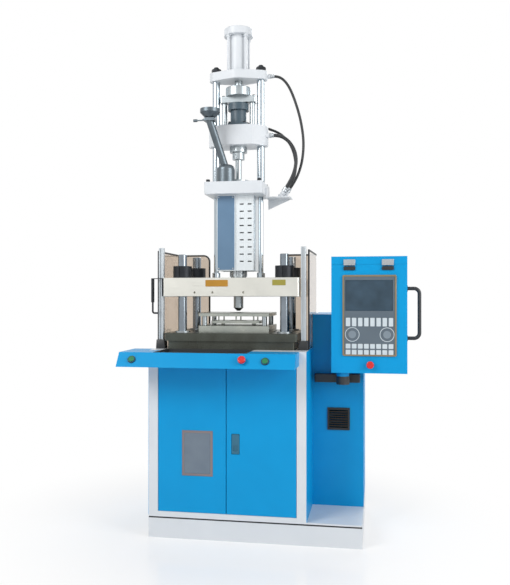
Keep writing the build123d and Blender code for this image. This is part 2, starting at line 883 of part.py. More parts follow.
# Lower tool plate: lies on the fixed platen and guides the ejector rods
with BuildPart() as lower_tool_plate:
    with BuildSketch(level(fixed_top)):
        RectangleRounded(2 * tool_half_x, 2 * tool_half_y, tool_corner)
    extrude(amount=lower_tool_thickness)
    chamfer(lower_tool_plate.faces().sort_by(Axis.Z)[-1].edges(), edge_break)
    with BuildSketch(level(fixed_top)):
        with GridLocations(ejector_rod_spacing, 1, 2, 1):
            Circle(ejector_rod_radius + running_fit)
    extrude(amount=lower_tool_thickness, mode=Mode.SUBTRACT)
lower_tool_plate.part.label = "lower_tool_plate"
export_step(lower_tool_plate.part, "parts/lower_tool_plate.step")

# Tool pillars: four spacers under the stripper plate
with BuildPart() as tool_pillars:
    with BuildSketch(level(lower_tool_top)):
        with GridLocations(
            2 * (tool_half_x - pillar_inset), 2 * (tool_half_y - pillar_inset), 2, 2
        ):
            Circle(pillar_radius)
    extrude(amount=pillar_length)
tool_pillars.part.label = "tool_pillars"
export_step(tool_pillars.part, "parts/tool_pillars.step")

# Stripper plate: open for the nozzle, bored for six ejector pins
with BuildPart() as stripper_plate:
    with BuildSketch(level(stripper_bottom)):
        RectangleRounded(2 * tool_half_x, 2 * tool_half_y, tool_corner)
    extrude(amount=stripper_thickness)
    chamfer(stripper_plate.faces().sort_by(Axis.Z)[-1].edges(), edge_break)
    with BuildSketch(level(stripper_bottom)):
        Circle(stripper_opening)
        with GridLocations(ejector_pin_x, ejector_pin_y, 3, 2):
            Circle(ejector_pin_radius + free_gap)
    extrude(amount=stripper_thickness, mode=Mode.SUBTRACT)
stripper_plate.part.label = "stripper_plate"
export_step(stripper_plate.part, "parts/stripper_plate.step")

# Ejector plate: six pins above it and two push rods below
ejector_bottom = lower_tool_top + ejector_rest
with BuildPart() as ejector_plate:
    with BuildSketch(level(ejector_bottom)):
        RectangleRounded(2 * ejector_half_x, 2 * ejector_half_y, tool_corner)
        Circle(ejector_opening, mode=Mode.SUBTRACT)
    extrude(amount=ejector_thickness)
    with BuildSketch(level(ejector_bottom + ejector_thickness)):
        with GridLocations(ejector_pin_x, ejector_pin_y, 3, 2):
            Circle(ejector_pin_radius)
    extrude(amount=ejector_pin_length)
    with BuildSketch(level(ejector_bottom)):
        with GridLocations(ejector_rod_spacing, 1, 2, 1):
            Circle(ejector_rod_radius)
    extrude(amount=-ejector_rod_length)
ejector_plate.part.label = "ejector_plate"
export_step(ejector_plate.part, "parts/ejector_plate.step")

# Clamp cylinder: hangs on its flange below the bolster
with BuildPart() as clamp_cylinder:
    with BuildSketch(level(bolster_bottom)):
        Circle(clamp_flange_radius)
    extrude(amount=-clamp_flange_height)
    with BuildSketch(level(bolster_bottom)):
        Circle(clamp_tube_radius)
    extrude(amount=-clamp_tube_length)
    chamfer(clamp_cylinder.faces().sort_by(Axis.Z)[0].edges(), 2 * edge_break)
    with BuildSketch(level(bolster_bottom - clamp_tube_length)):
        Circle(ram_radius + running_fit)
    extrude(amount=clamp_tube_length - clamp_tube_head, mode=Mode.SUBTRACT)
clamp_cylinder.part.label = "clamp_cylinder"
export_step(clamp_cylinder.part, "parts/clamp_cylinder.step")

# Clamp ram: stands on the tail plate and slides in the clamp cylinder
ram_top = bolster_bottom - clamp_tube_head - ram_headroom
with BuildPart() as clamp_ram:
    with BuildSketch(level(tail_top)):
        Circle(ram_radius)
    extrude(amount=ram_top - tail_top)
    chamfer(clamp_ram.faces().sort_by(Axis.Z)[-1].edges(), edge_break)
clamp_ram.part.label = "clamp_ram"
export_step(clamp_ram.part, "parts/clamp_ram.step")

# Tail plate: joins the lower ends of the tie bars
with BuildPart() as tail_plate:
    with BuildSketch(level(tail_bottom)):
        RectangleRounded(2 * tail_half_x, 2 * tail_half_y, tail_corner)
    extrude(amount=tail_thickness)
    chamfer(tail_plate.faces().filter_by(Plane.XY).edges(), edge_break)
    with BuildSketch(level(tail_bottom)):
        with GridLocations(tie_spacing_x, tie_spacing_y, 2, 2):
            Circle(tie_radius + running_fit)
    extrude(amount=tail_thickness, mode=Mode.SUBTRACT)
tail_plate.part.label = "tail_plate"
export_step(tail_plate.part, "parts/tail_plate.step")

# Tie bars: four ground bars through both platens and the tail plate
with BuildPart() as tie_bars:
    with BuildSketch(level(tail_bottom - tie_bottom_reach)):
        with GridLocations(tie_spacing_x, tie_spacing_y, 2, 2):
            Circle(tie_radius)
    extrude(amount=moving_top + tie_top_reach - tail_bottom + tie_bottom_reach)
    chamfer(tie_bars.faces().filter_by(Plane.XY).edges(), edge_break)
tie_bars.part.label = "tie_bars"
export_step(tie_bars.part, "parts/tie_bars.step")

# Tie bar nuts: notched ring nuts on the moving platen, plain ones below the tail plate
with BuildPart() as tie_bar_nuts:
    with BuildSketch(level(moving_top)):
        with GridLocations(tie_spacing_x, tie_spacing_y, 2, 2):
            Circle(upper_nut_radius)
            with PolarLocations(upper_nut_radius, upper_nut_notches):
                Rectangle(2 * notch_depth, notch_width, mode=Mode.SUBTRACT)
            Circle(tie_radius + running_fit, mode=Mode.SUBTRACT)
    extrude(amount=upper_nut_height)
    with BuildSketch(level(tail_bottom)):
        with GridLocations(tie_spacing_x, tie_spacing_y, 2, 2):
            Circle(lower_nut_radius)
            Circle(tie_radius + running_fit, mode=Mode.SUBTRACT)
    extrude(amount=-lower_nut_height)
tie_bar_nuts.part.label = "tie_bar_nuts"
export_step(tie_bar_nuts.part, "parts/tie_bar_nuts.step")

# Moving platen: thick plate with the nozzle opening and tapped holes for the tool
with BuildPart() as moving_platen:
    with BuildSketch(level(moving_bottom)):
        RectangleRounded(2 * moving_half_x, 2 * moving_half_y, moving_round)
    extrude(amount=moving_thickness)
    chamfer(moving_platen.faces().filter_by(Plane.XY).edges(), edge_break)
    with BuildSketch(level(moving_bottom)):
        with GridLocations(tie_spacing_x, tie_spacing_y, 2, 2):
            Circle(tie_radius + running_fit)
        Circle(nozzle_opening)
    extrude(amount=moving_thickness, mode=Mode.SUBTRACT)
    with BuildSketch(level(moving_bottom)):
        with GridLocations(tool_bolt_x, tool_bolt_y, 2, 2):
            Circle(tool_bolt_radius)
    extrude(amount=tool_bolt_depth, mode=Mode.SUBTRACT)
    with BuildSketch(facing_front(-moving_half_y)):
        for x in front_hole_x:
            with Locations((x, moving_bottom + front_hole_rise)):
                Circle(front_hole_radius)
    extrude(amount=-front_hole_depth, mode=Mode.SUBTRACT)
moving_platen.part.label = "moving_platen"
export_step(moving_platen.part, "parts/moving_platen.step")

# Switch arm: bracket on the left end of the moving platen with a striker bar
switch_y = -moving_half_y + switch_arm_depth / 2
switch_top = moving_top - edge_break
with BuildPart() as switch_arm:
    with BuildSketch(facing_side(-moving_half_x)):
        with Locations((switch_y, (moving_bottom + moving_top) / 2)):
            Rectangle(switch_arm_depth, moving_thickness - 2 * edge_break)
    extrude(amount=-switch_arm_sheet)
    with BuildSketch(level(switch_top)):
        with Locations((-moving_half_x - switch_arm_length / 2, switch_y)):
            Rectangle(switch_arm_length, switch_arm_depth)
    extrude(amount=-switch_arm_sheet)
    with BuildSketch(level(switch_top)):
        with Locations((-moving_half_x - switch_arm_length + striker_width / 2, switch_y)):
            Rectangle(striker_width, switch_arm_depth)
    extrude(amount=-(moving_thickness + striker_drop))
switch_arm.part.label = "switch_arm"
export_step(switch_arm.part, "parts/switch_arm.step")

# Guards: a clear sheet on each side, with a return across the back
with BuildPart() as platen_guards:
    with BuildSketch(facing_side(frame_half)):
        with Locations(((guard_front + guard_back) / 2, deck_top + guard_height / 2)):
            Rectangle(guard_back - guard_front, guard_height)
    extrude(amount=-guard_sheet)
    with BuildSketch(facing_front(guard_back)) as return_outline:
        with Locations((frame_half - guard_return / 2, deck_top + guard_height / 2)):
            Rectangle(guard_return, guard_height)
        inner_corner = return_outline.vertices().group_by(Axis.Y)[-1].sort_by(Axis.X)[0]
        fillet(inner_corner, guard_round)
    extrude(amount=-guard_sheet)
    mirror(about=Plane.YZ)
platen_guards.part.label = "platen_guards"
export_step(platen_guards.part, "parts/platen_guards.step")

# Guard posts: grooved profiles on feet at the front corners of the deck
with BuildPart() as guard_posts:
    with BuildSketch(level(deck_top)):
        with Locations((post_x, post_y)):
            RectangleRounded(post_foot_x, post_foot_y, post_round)
    extrude(amount=post_foot_height)
    with BuildSketch(level(deck_top + post_foot_height)):
        with Locations((post_x, post_y)):
            RectangleRounded(post_face, post_side, post_round)
        with Locations((post_x, post_y - post_side / 2)):
            Rectangle(post_groove_width, 2 * post_groove_depth, mode=Mode.SUBTRACT)
    extrude(amount=post_height)
    mirror(about=Plane.YZ)
guard_posts.part.label = "guard_posts"
export_step(guard_posts.part, "parts/guard_posts.step")

# Oil tank: closed box with a lid that overhangs it and a filler cap
tank_mid = (0, (tank_front + tank_back) / 2)
tank_top = plinth_height + tank_height
with BuildPart() as oil_tank:
    with BuildSketch(level(plinth_height)):
        with Locations(tank_mid):
            Rectangle(2 * tank_half_x, tank_back - tank_front)
    extrude(amount=tank_height - tank_lid)
    with BuildSketch(level(tank_top)):
        with Locations(tank_mid):
            Rectangle(
                2 * (tank_half_x + tank_lid_reach), tank_back - tank_front + 2 * tank_lid_reach
            )
    extrude(amount=-tank_lid)
    with BuildSketch(level(tank_top)):
        with Locations((filler_inset_x - tank_half_x, tank_front + filler_inset_y)):
            Circle(filler_radius)
    extrude(amount=filler_height)
oil_tank.part.label = "oil_tank"
export_step(oil_tank.part, "parts/oil_tank.step")

# Pump motor: finned body under a tapered cowl, standing on the tank lid
with BuildPart() as pump_motor:
    with BuildSketch(level(tank_top)):
        with Locations((0, motor_y)):
            Circle(motor_flange_radius)
    extrude(amount=motor_flange_height)
    with BuildSketch(level(tank_top + motor_flange_height)):
        with Locations((0, motor_y)):
            Circle(motor_core_radius)
            with PolarLocations(motor_core_radius, motor_fins):
                Rectangle(2 * motor_fin_reach, motor_fin_width)
    extrude(amount=motor_body_height)
    with BuildSketch(level(tank_top + motor_flange_height + motor_body_height)):
        with Locations((0, motor_y)):
            Circle(motor_flange_radius)
    extrude(amount=cowl_height, taper=cowl_taper)
pump_motor.part.label = "pump_motor"
export_step(pump_motor.part, "parts/pump_motor.step")

# Guide rods: carry the injection carriage, each with a collar on the moving platen
with BuildPart() as guide_rods:
    with BuildSketch(level(moving_top)):
        with GridLocations(rod_spacing, 1, 2, 1):
            Circle(rod_collar_radius)
    extrude(amount=rod_collar_height)
    chamfer(guide_rods.faces().sort_by(Axis.Z)[-2:].edges(), edge_break)
    with BuildSketch(level(moving_top)):
        with GridLocations(rod_spacing, 1, 2, 1):
            Circle(rod_radius)
    extrude(amount=rod_length)
guide_rods.part.label = "guide_rods"
export_step(guide_rods.part, "parts/guide_rods.step")

# Injection base: plate that slides on the guide rods and holds the barrel
with BuildPart() as injection_base:
    with BuildSketch(level(carriage_bottom)):
        with Locations((0, (carriage_front + carriage_back) / 2)):
            RectangleRounded(2 * carriage_half_x, carriage_back - carriage_front, carriage_corner)
    extrude(amount=carriage_thickness)
    chamfer(injection_base.faces().filter_by(Plane.XY).edges(), edge_break)
    with BuildSketch(level(carriage_bottom)):
        with GridLocations(rod_spacing, 1, 2, 1):
            Circle(rod_radius + running_fit)
        Circle(barrel_radius + running_fit)
    extrude(amount=carriage_thickness, mode=Mode.SUBTRACT)
injection_base.part.label = "injection_base"
export_step(injection_base.part, "parts/injection_base.step")

# Barrel: turned tube with a flange on the base and a nozzle through the platen
barrel_bottom = moving_top - barrel_drop
nozzle_tip = moving_bottom - nozzle_reach
with BuildPart() as barrel:
    with BuildSketch(Plane.XZ):
        with BuildLine():
            Polyline(
                (nozzle_channel, nozzle_tip),
                (nozzle_tip_radius, nozzle_tip),
                (nozzle_radius, nozzle_tip + nozzle_taper),
                (nozzle_radius, barrel_bottom - nozzle_seat),
                (barrel_radius - nozzle_seat, barrel_bottom - nozzle_seat),
                (barrel_radius, barrel_bottom),
                (barrel_radius, carriage_top),
                (barrel_flange_radius, carriage_top),
                (barrel_flange_radius, carriage_top + barrel_flange_height),
                (barrel_bore + running_fit, carriage_top + barrel_flange_height),
                (barrel_bore + running_fit, barrel_bottom),
                (nozzle_channel, barrel_bottom - nozzle_seat),
                close=True,
            )
        make_face()
    revolve(axis=Axis.Z)
barrel.part.label = "barrel"
export_step(barrel.part, "parts/barrel.step")

# Heater bands: four split rings with clamping lugs, spaced along the barrel
band_inner = barrel_radius + band_clearance
band_outer = band_inner + band_wall
with BuildPart() as heater_bands:
    for index in range(band_count):
        with BuildSketch(level(moving_top + band_start + index * band_pitch)):
            Circle(band_outer)
            with Locations((0, -band_outer)):
                Rectangle(band_lug_width, 2 * band_lug_reach)
            Circle(band_inner, mode=Mode.SUBTRACT)
            with Locations((0, -band_outer)):
                Rectangle(band_slit, 2 * (band_lug_reach + band_wall), mode=Mode.SUBTRACT)
        extrude(amount=band_length)
heater_bands.part.label = "heater_bands"
export_step(heater_bands.part, "parts/heater_bands.step")

# Barrel cover: sheet case with a groove down its front and rows of air slots
cover_bottom = moving_top + cover_rise
cover_height = carriage_bottom - cover_bottom
slot_mid_x = (cover_groove + cover_half_x) / 2
with BuildPart() as barrel_cover:
    with BuildSketch(level(cover_bottom)):
        with Locations((0, (cover_front + cover_back) / 2)):
            Rectangle(2 * cover_half_x, cover_back - cover_front)
        with Locations((cover_groove / 2, cover_front)):
            Rectangle(cover_groove, 2 * cover_groove_depth, mode=Mode.SUBTRACT)
        offset(amount=-cover_sheet, kind=Kind.INTERSECTION, mode=Mode.SUBTRACT)
    extrude(amount=cover_height)
    with BuildSketch(facing_front(cover_front)):
        with Locations((slot_mid_x, cover_bottom + cover_height / 2)):
            with GridLocations(
                (cover_half_x - cover_groove) / 2, cover_slot_pitch, 2, cover_slot_rows
            ):
                SlotOverall(cover_slot_length, cover_slot_height)
    extrude(amount=-cover_sheet, mode=Mode.SUBTRACT)
barrel_cover.part.label = "barrel_cover"
export_step(barrel_cover.part, "parts/barrel_cover.step")

# Columns: tubes round the upper ends of the guide rods, up to the crown plate
with BuildPart() as columns:
    with BuildSketch(level(carriage_top)):
        with GridLocations(rod_spacing, 1, 2, 1):
            Circle(column_radius)
            Circle(rod_radius + free_gap, mode=Mode.SUBTRACT)
    extrude(amount=column_height)
columns.part.label = "columns"
export_step(columns.part, "parts/columns.step")

# Crown plate: lozenge across the columns, bored for the piston rod, with an oil port
crown_port_z = (crown_bottom + crown_top) / 2
crown_port_x = rod_x + crown_boss + crown_port_length
with BuildPart() as crown_plate:
    with BuildSketch(level(crown_bottom)):
        Circle(crown_radius)
        with GridLocations(rod_spacing, 1, 2, 1):
            Circle(crown_boss)
        make_hull()
    extrude(amount=crown_thickness)
    chamfer(crown_plate.faces().filter_by(Plane.XY).edges(), edge_break)
    with BuildSketch(level(crown_bottom)):
        Circle(piston_rod_radius + running_fit)
    extrude(amount=crown_thickness, mode=Mode.SUBTRACT)
    with BuildSketch(facing_side(rod_x)):
        with Locations((crown_port_y, crown_port_z)):
            Circle(port_radius)
    extrude(amount=crown_port_x - rod_x)
crown_plate.part.label = "crown_plate"
export_step(crown_plate.part, "parts/crown_plate.step")

# Injection cylinder: tube under a recessed cap, held by four stays with nuts
with BuildPart() as injection_cylinder:
    with BuildSketch(level(crown_top)):
        Circle(cylinder_radius)
        with GridLocations(stay_spacing, stay_spacing, 2, 2):
            Circle(stay_radius)
        Circle(cylinder_radius - cylinder_wall, mode=Mode.SUBTRACT)
    extrude(amount=cylinder_length)
    with BuildSketch(level(cylinder_top - stay_nut_height)):
        with GridLocations(stay_spacing, stay_spacing, 2, 2):
            RegularPolygon(stay_nut_radius, 6)
    extrude(amount=stay_nut_height)
    with BuildSketch(level(cylinder_top)):
        Circle(cap_radius)
    extrude(amount=cap_height)
    chamfer(injection_cylinder.faces().sort_by(Axis.Z)[-1].edges(), edge_break)
    with BuildSketch(level(cylinder_top + cap_height)):
        Circle(cap_recess_radius)
    extrude(amount=-cap_recess_depth, mode=Mode.SUBTRACT)
injection_cylinder.part.label = "injection_cylinder"
export_step(injection_cylinder.part, "parts/injection_cylinder.step")

# Feed chute: domed throat on the injection base and the slanting pipe above it
pipe_foot = Vector(throat_x, throat_y, carriage_top + throat_height - throat_dome)
pipe_head = Vector(hopper_x, hopper_y, carriage_top + hopper_seat - housing_height)
pipe_plane = Plane(pipe_foot, z_dir=pipe_head - pipe_foot)
pipe_length = (pipe_head - pipe_foot).length
with BuildPart() as feed_chute:
    with BuildSketch(level(carriage_top)):
        with Locations((throat_x, throat_y)):
            Circle(throat_radius)
    extrude(amount=throat_height)
    fillet(feed_chute.faces().sort_by(Axis.Z)[-1].edges(), throat_dome)
    with BuildSketch(pipe_plane):
        Circle(feed_radius)
    extrude(amount=pipe_length + feed_radius)
    with BuildSketch(pipe_plane):
        Circle(feed_radius - feed_wall)
    extrude(amount=pipe_length + feed_radius, mode=Mode.SUBTRACT)
    split(bisect_by=Plane(pipe_head), keep=Keep.BOTTOM)
feed_chute.part.label = "feed_chute"
export_step(feed_chute.part, "parts/feed_chute.step")

# Hopper: turned dish on the slotted housing of its gate
housing_bottom = pipe_head.Z
dish_bottom = housing_bottom + housing_height
gate_bottom = housing_bottom + (housing_height - gate_thickness) / 2
outlet_radius = feed_radius - feed_wall
with BuildPart() as hopper:
    with BuildSketch(Plane((hopper_x, hopper_y, dish_bottom), x_dir=(1, 0, 0), z_dir=(0, -1, 0))):
        with BuildLine():
            Polyline(
                (outlet_radius, 0),
                (feed_radius + hopper_wall, 0),
                (hopper_radius, hopper_height - hopper_rim_height),
                (hopper_radius, hopper_height),
                (hopper_radius - hopper_wall, hopper_height),
                (hopper_radius - hopper_wall, hopper_height - hopper_rim_height + hopper_wall),
                (outlet_radius, hopper_wall),
                close=True,
            )
        make_face()
    revolve(axis=Axis((hopper_x, hopper_y, 0), (0, 0, 1)))
    with BuildSketch(level(housing_bottom)):
        with Locations((hopper_x, hopper_y)):
            RectangleRounded(housing_width, housing_width, housing_corner)
            Circle(outlet_radius, mode=Mode.SUBTRACT)
    extrude(amount=housing_height)
    with BuildSketch(level(gate_bottom - gate_clearance)):
        with Locations((hopper_x - housing_corner, hopper_y)):
            Rectangle(housing_width, gate_width + 2 * gate_clearance)
    extrude(amount=gate_thickness + 2 * gate_clearance, mode=Mode.SUBTRACT)
hopper.part.label = "hopper"
export_step(hopper.part, "parts/hopper.step")

# Hopper gate: flat slide with a tongue and a pull knob on its left
gate_right = hopper_x + housing_width / 2 - housing_corner - free_gap
tongue_left = gate_right - gate_length - gate_tongue_length
with BuildPart() as hopper_gate:
    with BuildSketch(level(gate_bottom)):
        with Locations((gate_right - gate_length / 2, hopper_y)):
            Rectangle(gate_length, gate_width)
        with Locations((gate_right - (gate_length + gate_tongue_length) / 2, hopper_y)):
            Rectangle(gate_length + gate_tongue_length, gate_tongue_width)
    extrude(amount=gate_thickness)
    with BuildSketch(facing_side(tongue_left)):
        with Locations((hopper_y, gate_bottom + gate_thickness / 2)):
            Circle(gate_knob_radius)
    extrude(amount=-gate_knob_length)
hopper_gate.part.label = "hopper_gate"
export_step(hopper_gate.part, "parts/hopper_gate.step")

# Injection block: slides on the columns, carries the motor and screw, has an oil port
block_port_z = block_bottom + block_port_rise
block_port_x = rod_x + block_boss + port_length
with BuildPart() as injection_block:
    with BuildSketch(level(block_bottom)):
        Rectangle(2 * block_half_x, 2 * block_half_y)
        with GridLocations(rod_spacing, 1, 2, 1):
            Circle(block_boss)
        make_hull()
    extrude(amount=block_thickness)
    chamfer(injection_block.faces().filter_by(Plane.XY).edges(), edge_break)
    with BuildSketch(facing_side(rod_x)):
        with Locations((block_port_y, block_port_z)):
            Circle(port_radius)
    extrude(amount=block_port_x - rod_x)
    with BuildSketch(level(block_bottom)):
        with GridLocations(rod_spacing, 1, 2, 1):
            Circle(column_radius + running_fit)
        Circle(journal_radius + running_fit)
    extrude(amount=block_thickness, mode=Mode.SUBTRACT)
injection_block.part.label = "injection_block"
export_step(injection_block.part, "parts/injection_block.step")

# Screw motor: square foot, waist, wider head and a port at the back
with BuildPart() as screw_motor:
    with BuildSketch(level(block_top)):
        RectangleRounded(motor_foot, motor_foot, motor_foot_corner)
    extrude(amount=motor_foot_height)
    with BuildSketch(level(block_top + motor_foot_height)):
        Circle(motor_waist_radius)
    extrude(amount=motor_waist_height)
    with BuildSketch(level(block_top + motor_foot_height + motor_waist_height)):
        Circle(motor_head_radius)
    extrude(amount=motor_head_height)
    chamfer(screw_motor.faces().sort_by(Axis.Z)[-1].edges(), 2 * edge_break)
    with BuildSketch(facing_front(0)):
        with Locations((motor_port_x, block_top + motor_port_rise)):
            Circle(port_radius)
    extrude(amount=-motor_port_reach)
screw_motor.part.label = "screw_motor"
export_step(screw_motor.part, "parts/screw_motor.step")

# Yoke rods: stand on the block beside the motor and carry the yoke
motor_height = motor_foot_height + motor_waist_height + motor_head_height
yoke_bottom = block_top + motor_height + yoke_clearance
with BuildPart() as yoke_rods:
    with BuildSketch(level(block_top)):
        with GridLocations(yoke_rod_spacing, 1, 2, 1):
            Circle(yoke_rod_radius)
    extrude(amount=yoke_bottom - block_top)
yoke_rods.part.label = "yoke_rods"
export_step(yoke_rods.part, "parts/yoke_rods.step")

# Thrust yoke: eared plate and disc in one piece with the piston rod and piston
disc_bottom = yoke_bottom + yoke_thickness
rod_bottom = disc_bottom + yoke_disc_height
piston_bottom = crown_top + piston_rise
with BuildPart() as thrust_yoke:
    with BuildSketch(level(disc_bottom)):
        Circle(yoke_disc_radius)
    extrude(amount=yoke_disc_height)
    fillet(thrust_yoke.faces().sort_by(Axis.Z)[-1].edges(), yoke_round)
    with BuildSketch(level(yoke_bottom)):
        RectangleRounded(2 * yoke_half_x, 2 * yoke_half_y, 2 * yoke_round)
    extrude(amount=yoke_thickness)
    with BuildSketch(level(rod_bottom)):
        Circle(piston_rod_radius)
    extrude(amount=piston_bottom - rod_bottom)
    with BuildSketch(level(piston_bottom)):
        Circle(cylinder_radius - cylinder_wall - running_fit)
    extrude(amount=piston_height)
thrust_yoke.part.label = "thrust_yoke"
export_step(thrust_yoke.part, "parts/thrust_yoke.step")

# Screw: journal in the block, two collars and a shank that reaches into the barrel
screw_tip = barrel_bottom + screw_tip_rise
thrust_collar_bottom = block_bottom - thrust_collar_height
shank_collar_bottom = thrust_collar_bottom - shank_collar_height
with BuildPart() as screw:
    with BuildSketch(Plane.XZ):
        with BuildLine():
            Polyline(
                (0, screw_tip),
                (barrel_bore, screw_tip + screw_point),
                (barrel_bore, shank_collar_bottom),
                (shank_collar_radius, shank_collar_bottom),
                (shank_collar_radius, thrust_collar_bottom),
                (thrust_collar_radius, thrust_collar_bottom),
                (thrust_collar_radius, block_bottom - free_gap),
                (journal_radius, block_bottom - free_gap),
                (journal_radius, block_top - free_gap),
                (0, block_top - free_gap),
                close=True,
            )
        make_face()
    revolve(axis=Axis.Z)
screw.part.label = "screw"
export_step(screw.part, "parts/screw.step")

# Hose bracket: folded sheet on the right of the injection base with three elbow couplings
bracket_top = carriage_bottom - bracket_drop
bracket_mid_x = carriage_half_x + bracket_reach / 2
elbow_axis = Vector(math.sin(coupling_lean), 0, math.cos(coupling_lean))

def elbow_point(spot, distance):
    """The point at this distance along the leaning axis of the coupling at this spot."""
    return Vector(*spot, bracket_top + coupling_nut_height / 2) + elbow_axis * distance

with BuildPart() as hose_bracket:
    with BuildSketch(level(bracket_top)):
        with Locations((bracket_mid_x, 0)):
            Rectangle(bracket_reach, 2 * bracket_half_y)
    extrude(amount=-bracket_sheet)
    with BuildSketch(facing_side(carriage_half_x)):
        with Locations((0, bracket_top + bracket_upstand / 2)):
            Rectangle(2 * bracket_half_y, bracket_upstand)
    extrude(amount=bracket_sheet)
    with BuildSketch(facing_front(bracket_half_y)):
        with BuildLine():
            Polyline(
                (carriage_half_x, bracket_top),
                (carriage_half_x + bracket_reach, bracket_top),
                (carriage_half_x, bracket_top - gusset_drop),
                close=True,
            )
        make_face()
    extrude(amount=bracket_sheet)
    with BuildSketch(level(bracket_top)):
        with Locations(crown_coupling, motor_coupling, block_coupling):
            RegularPolygon(coupling_nut_radius, 6)
    extrude(amount=coupling_nut_height)
    for spot in (crown_coupling, motor_coupling, block_coupling):
        with BuildSketch(Plane(elbow_point(spot, 0), z_dir=elbow_axis)):
            Circle(coupling_radius)
        extrude(amount=coupling_length)
hose_bracket.part.label = "hose_bracket"
export_step(hose_bracket.part, "parts/hose_bracket.step")

def arc_radii(points):
    """The arc at each corner of a route, as large as the two runs beside it allow."""
    corners = [Vector(*point) for point in points]
    radii = []
    for before, corner, after in zip(corners, corners[1:], corners[2:]):
        run_in = corner - before
        run_out = after - corner
        half_turn = math.radians(run_in.get_angle(run_out)) / 2
        radii.append(arc_share * min(run_in.length, run_out.length) / math.tan(half_turn))
    return radii

def make_hose(name, points, radius):
    """A hose of straight runs and tangent arcs; prints its volume, length and radii."""
    radii = arc_radii(points)
    with BuildPart() as hose:
        with BuildLine() as path:
            FilletPolyline(*points, radius=radii)
        route = path.wires()[0]
        with BuildSketch(Plane(points[0], z_dir=route % 0)):
            Circle(radius)
        sweep(path=route)
    section_volume = math.pi * radius**2 * route.length
    print(f"{name}: length {route.length:.1f}, volume {hose.part.volume:.0f}")
    print(f"{name}: section times length {section_volume:.0f}")
    print(f"{name}: radii", " ".join(f"{arc:.0f}" for arc in radii))
    hose.part.label = name
    export_step(hose.part, f"parts/{name}.step")

# Hoses: from the crown, the block and the motor to the elbows, bulging to the right
crown_hose_route = (
    (crown_port_x, crown_port_y, crown_port_z),
    (222.0, crown_port_y, crown_port_z),
    (261.0, 15.0, 2522.0),
    (295.0, 14.0, 2473.0),
    (328.0, 13.0, 2389.0),
    (358.0, 12.0, 2284.0),
    (375.0, 11.0, 2165.0),
    (367.0, 9.0, 2055.0),
    (342.0, 7.0, 1974.0),
    tuple(elbow_point(crown_coupling, coupling_length + hose_lead)),
    tuple(elbow_point(crown_coupling, coupling_length)),
)
block_hose_route = (
    (block_port_x, block_port_y, block_port_z),
    (232.0, block_port_y, block_port_z),
    (279.0, -21.0, 2177.0),
    (315.0, -23.0, 2134.0),
    (335.0, -25.0, 2078.0),
    (333.0, -27.0, 2012.0),
    tuple(elbow_point(block_coupling, coupling_length + drive_hose_lead)),
    tuple(elbow_point(block_coupling, coupling_length)),
)
motor_hose_route = (
    (motor_port_x, motor_port_reach, block_top + motor_port_rise),
    (motor_port_x, 106.0, block_top + motor_port_rise),
    (33.0, 140.0, 2309.0),
    (63.0, 166.0, 2305.0),
    (108.0, 178.0, 2296.0),
    (160.0, 172.0, 2278.0),
    (212.0, 152.0, 2252.0),
    (258.0, 126.0, 2212.0),
    (294.0, 100.0, 2158.0),
    (316.0, 78.0, 2094.0),
    (324.0, 60.0, 2026.0),
    (316.0, 46.0, 1968.0),
    tuple(elbow_point(motor_coupling, coupling_length + hose_lead)),
    tuple(elbow_point(motor_coupling, coupling_length)),
)
make_hose("crown_hose", crown_hose_route, hose_radius)
make_hose("block_hose", block_hose_route, drive_hose_radius)
make_hose("motor_hose", motor_hose_route, hose_radius)

# Side cabinet: case open on the right for its door, with a fan opening in front
side_left = cabinet_half
side_right = cabinet_right - side_door_depth - free_gap
side_mid_x = (side_left + side_right) / 2
side_mid_y = (side_front + cabinet_back) / 2
side_mid_z = (plinth_height + side_top) / 2
side_depth = cabinet_back - side_front
side_height = side_top - plinth_height
with BuildPart() as side_cabinet:
    with BuildSketch(level(plinth_height)):
        with Locations((side_mid_x, side_mid_y)):
            Rectangle(side_right - side_left, side_depth)
    extrude(amount=side_height)
    with BuildSketch(level(plinth_height + side_sheet)):
        with Locations((side_mid_x, side_mid_y)):
            Rectangle(side_right - side_left - 2 * side_sheet, side_depth - 2 * side_sheet)
    extrude(amount=side_height - 2 * side_sheet, mode=Mode.SUBTRACT)
    with BuildSketch(facing_side(side_right)):
        with Locations((side_mid_y, side_mid_z)):
            Rectangle(side_depth - 2 * side_lip, side_height - 2 * side_lip)
    extrude(amount=-side_sheet, mode=Mode.SUBTRACT)
    with BuildSketch(facing_front(side_front)):
        with Locations((fan_x, fan_z)):
            Rectangle(fan_opening, fan_opening)
    extrude(amount=-side_sheet, mode=Mode.SUBTRACT)
side_cabinet.part.label = "side_cabinet"
export_step(side_cabinet.part, "parts/side_cabinet.step")

# Side door: folded leaf over the whole right side
with BuildPart() as side_door:
    with BuildSketch(facing_side(cabinet_right)):
        with Locations((side_mid_y, side_mid_z)):
            Rectangle(side_depth, side_height - 2 * side_door_trim)
    extrude(amount=-side_door_depth)
    with BuildSketch(facing_side(cabinet_right - side_sheet)):
        with Locations((side_mid_y, side_mid_z)):
            Rectangle(
                side_depth - 2 * side_sheet, side_height - 2 * side_door_trim - 2 * side_sheet
            )
    extrude(amount=-side_door_depth, mode=Mode.SUBTRACT)
side_door.part.label = "side_door"
export_step(side_door.part, "parts/side_door.step")

# Fan grille: square frame with level slots across it
with BuildPart() as fan_grille:
    with BuildSketch(facing_front(side_front)):
        with Locations((fan_x, fan_z)):
            Rectangle(fan_size, fan_size)
            with GridLocations(1, (fan_size - 2 * fan_border) / fan_bars, 1, fan_bars):
                Rectangle(fan_size - 2 * fan_border, fan_bar_gap, mode=Mode.SUBTRACT)
    extrude(amount=fan_depth)
fan_grille.part.label = "fan_grille"
export_step(fan_grille.part, "parts/fan_grille.step")

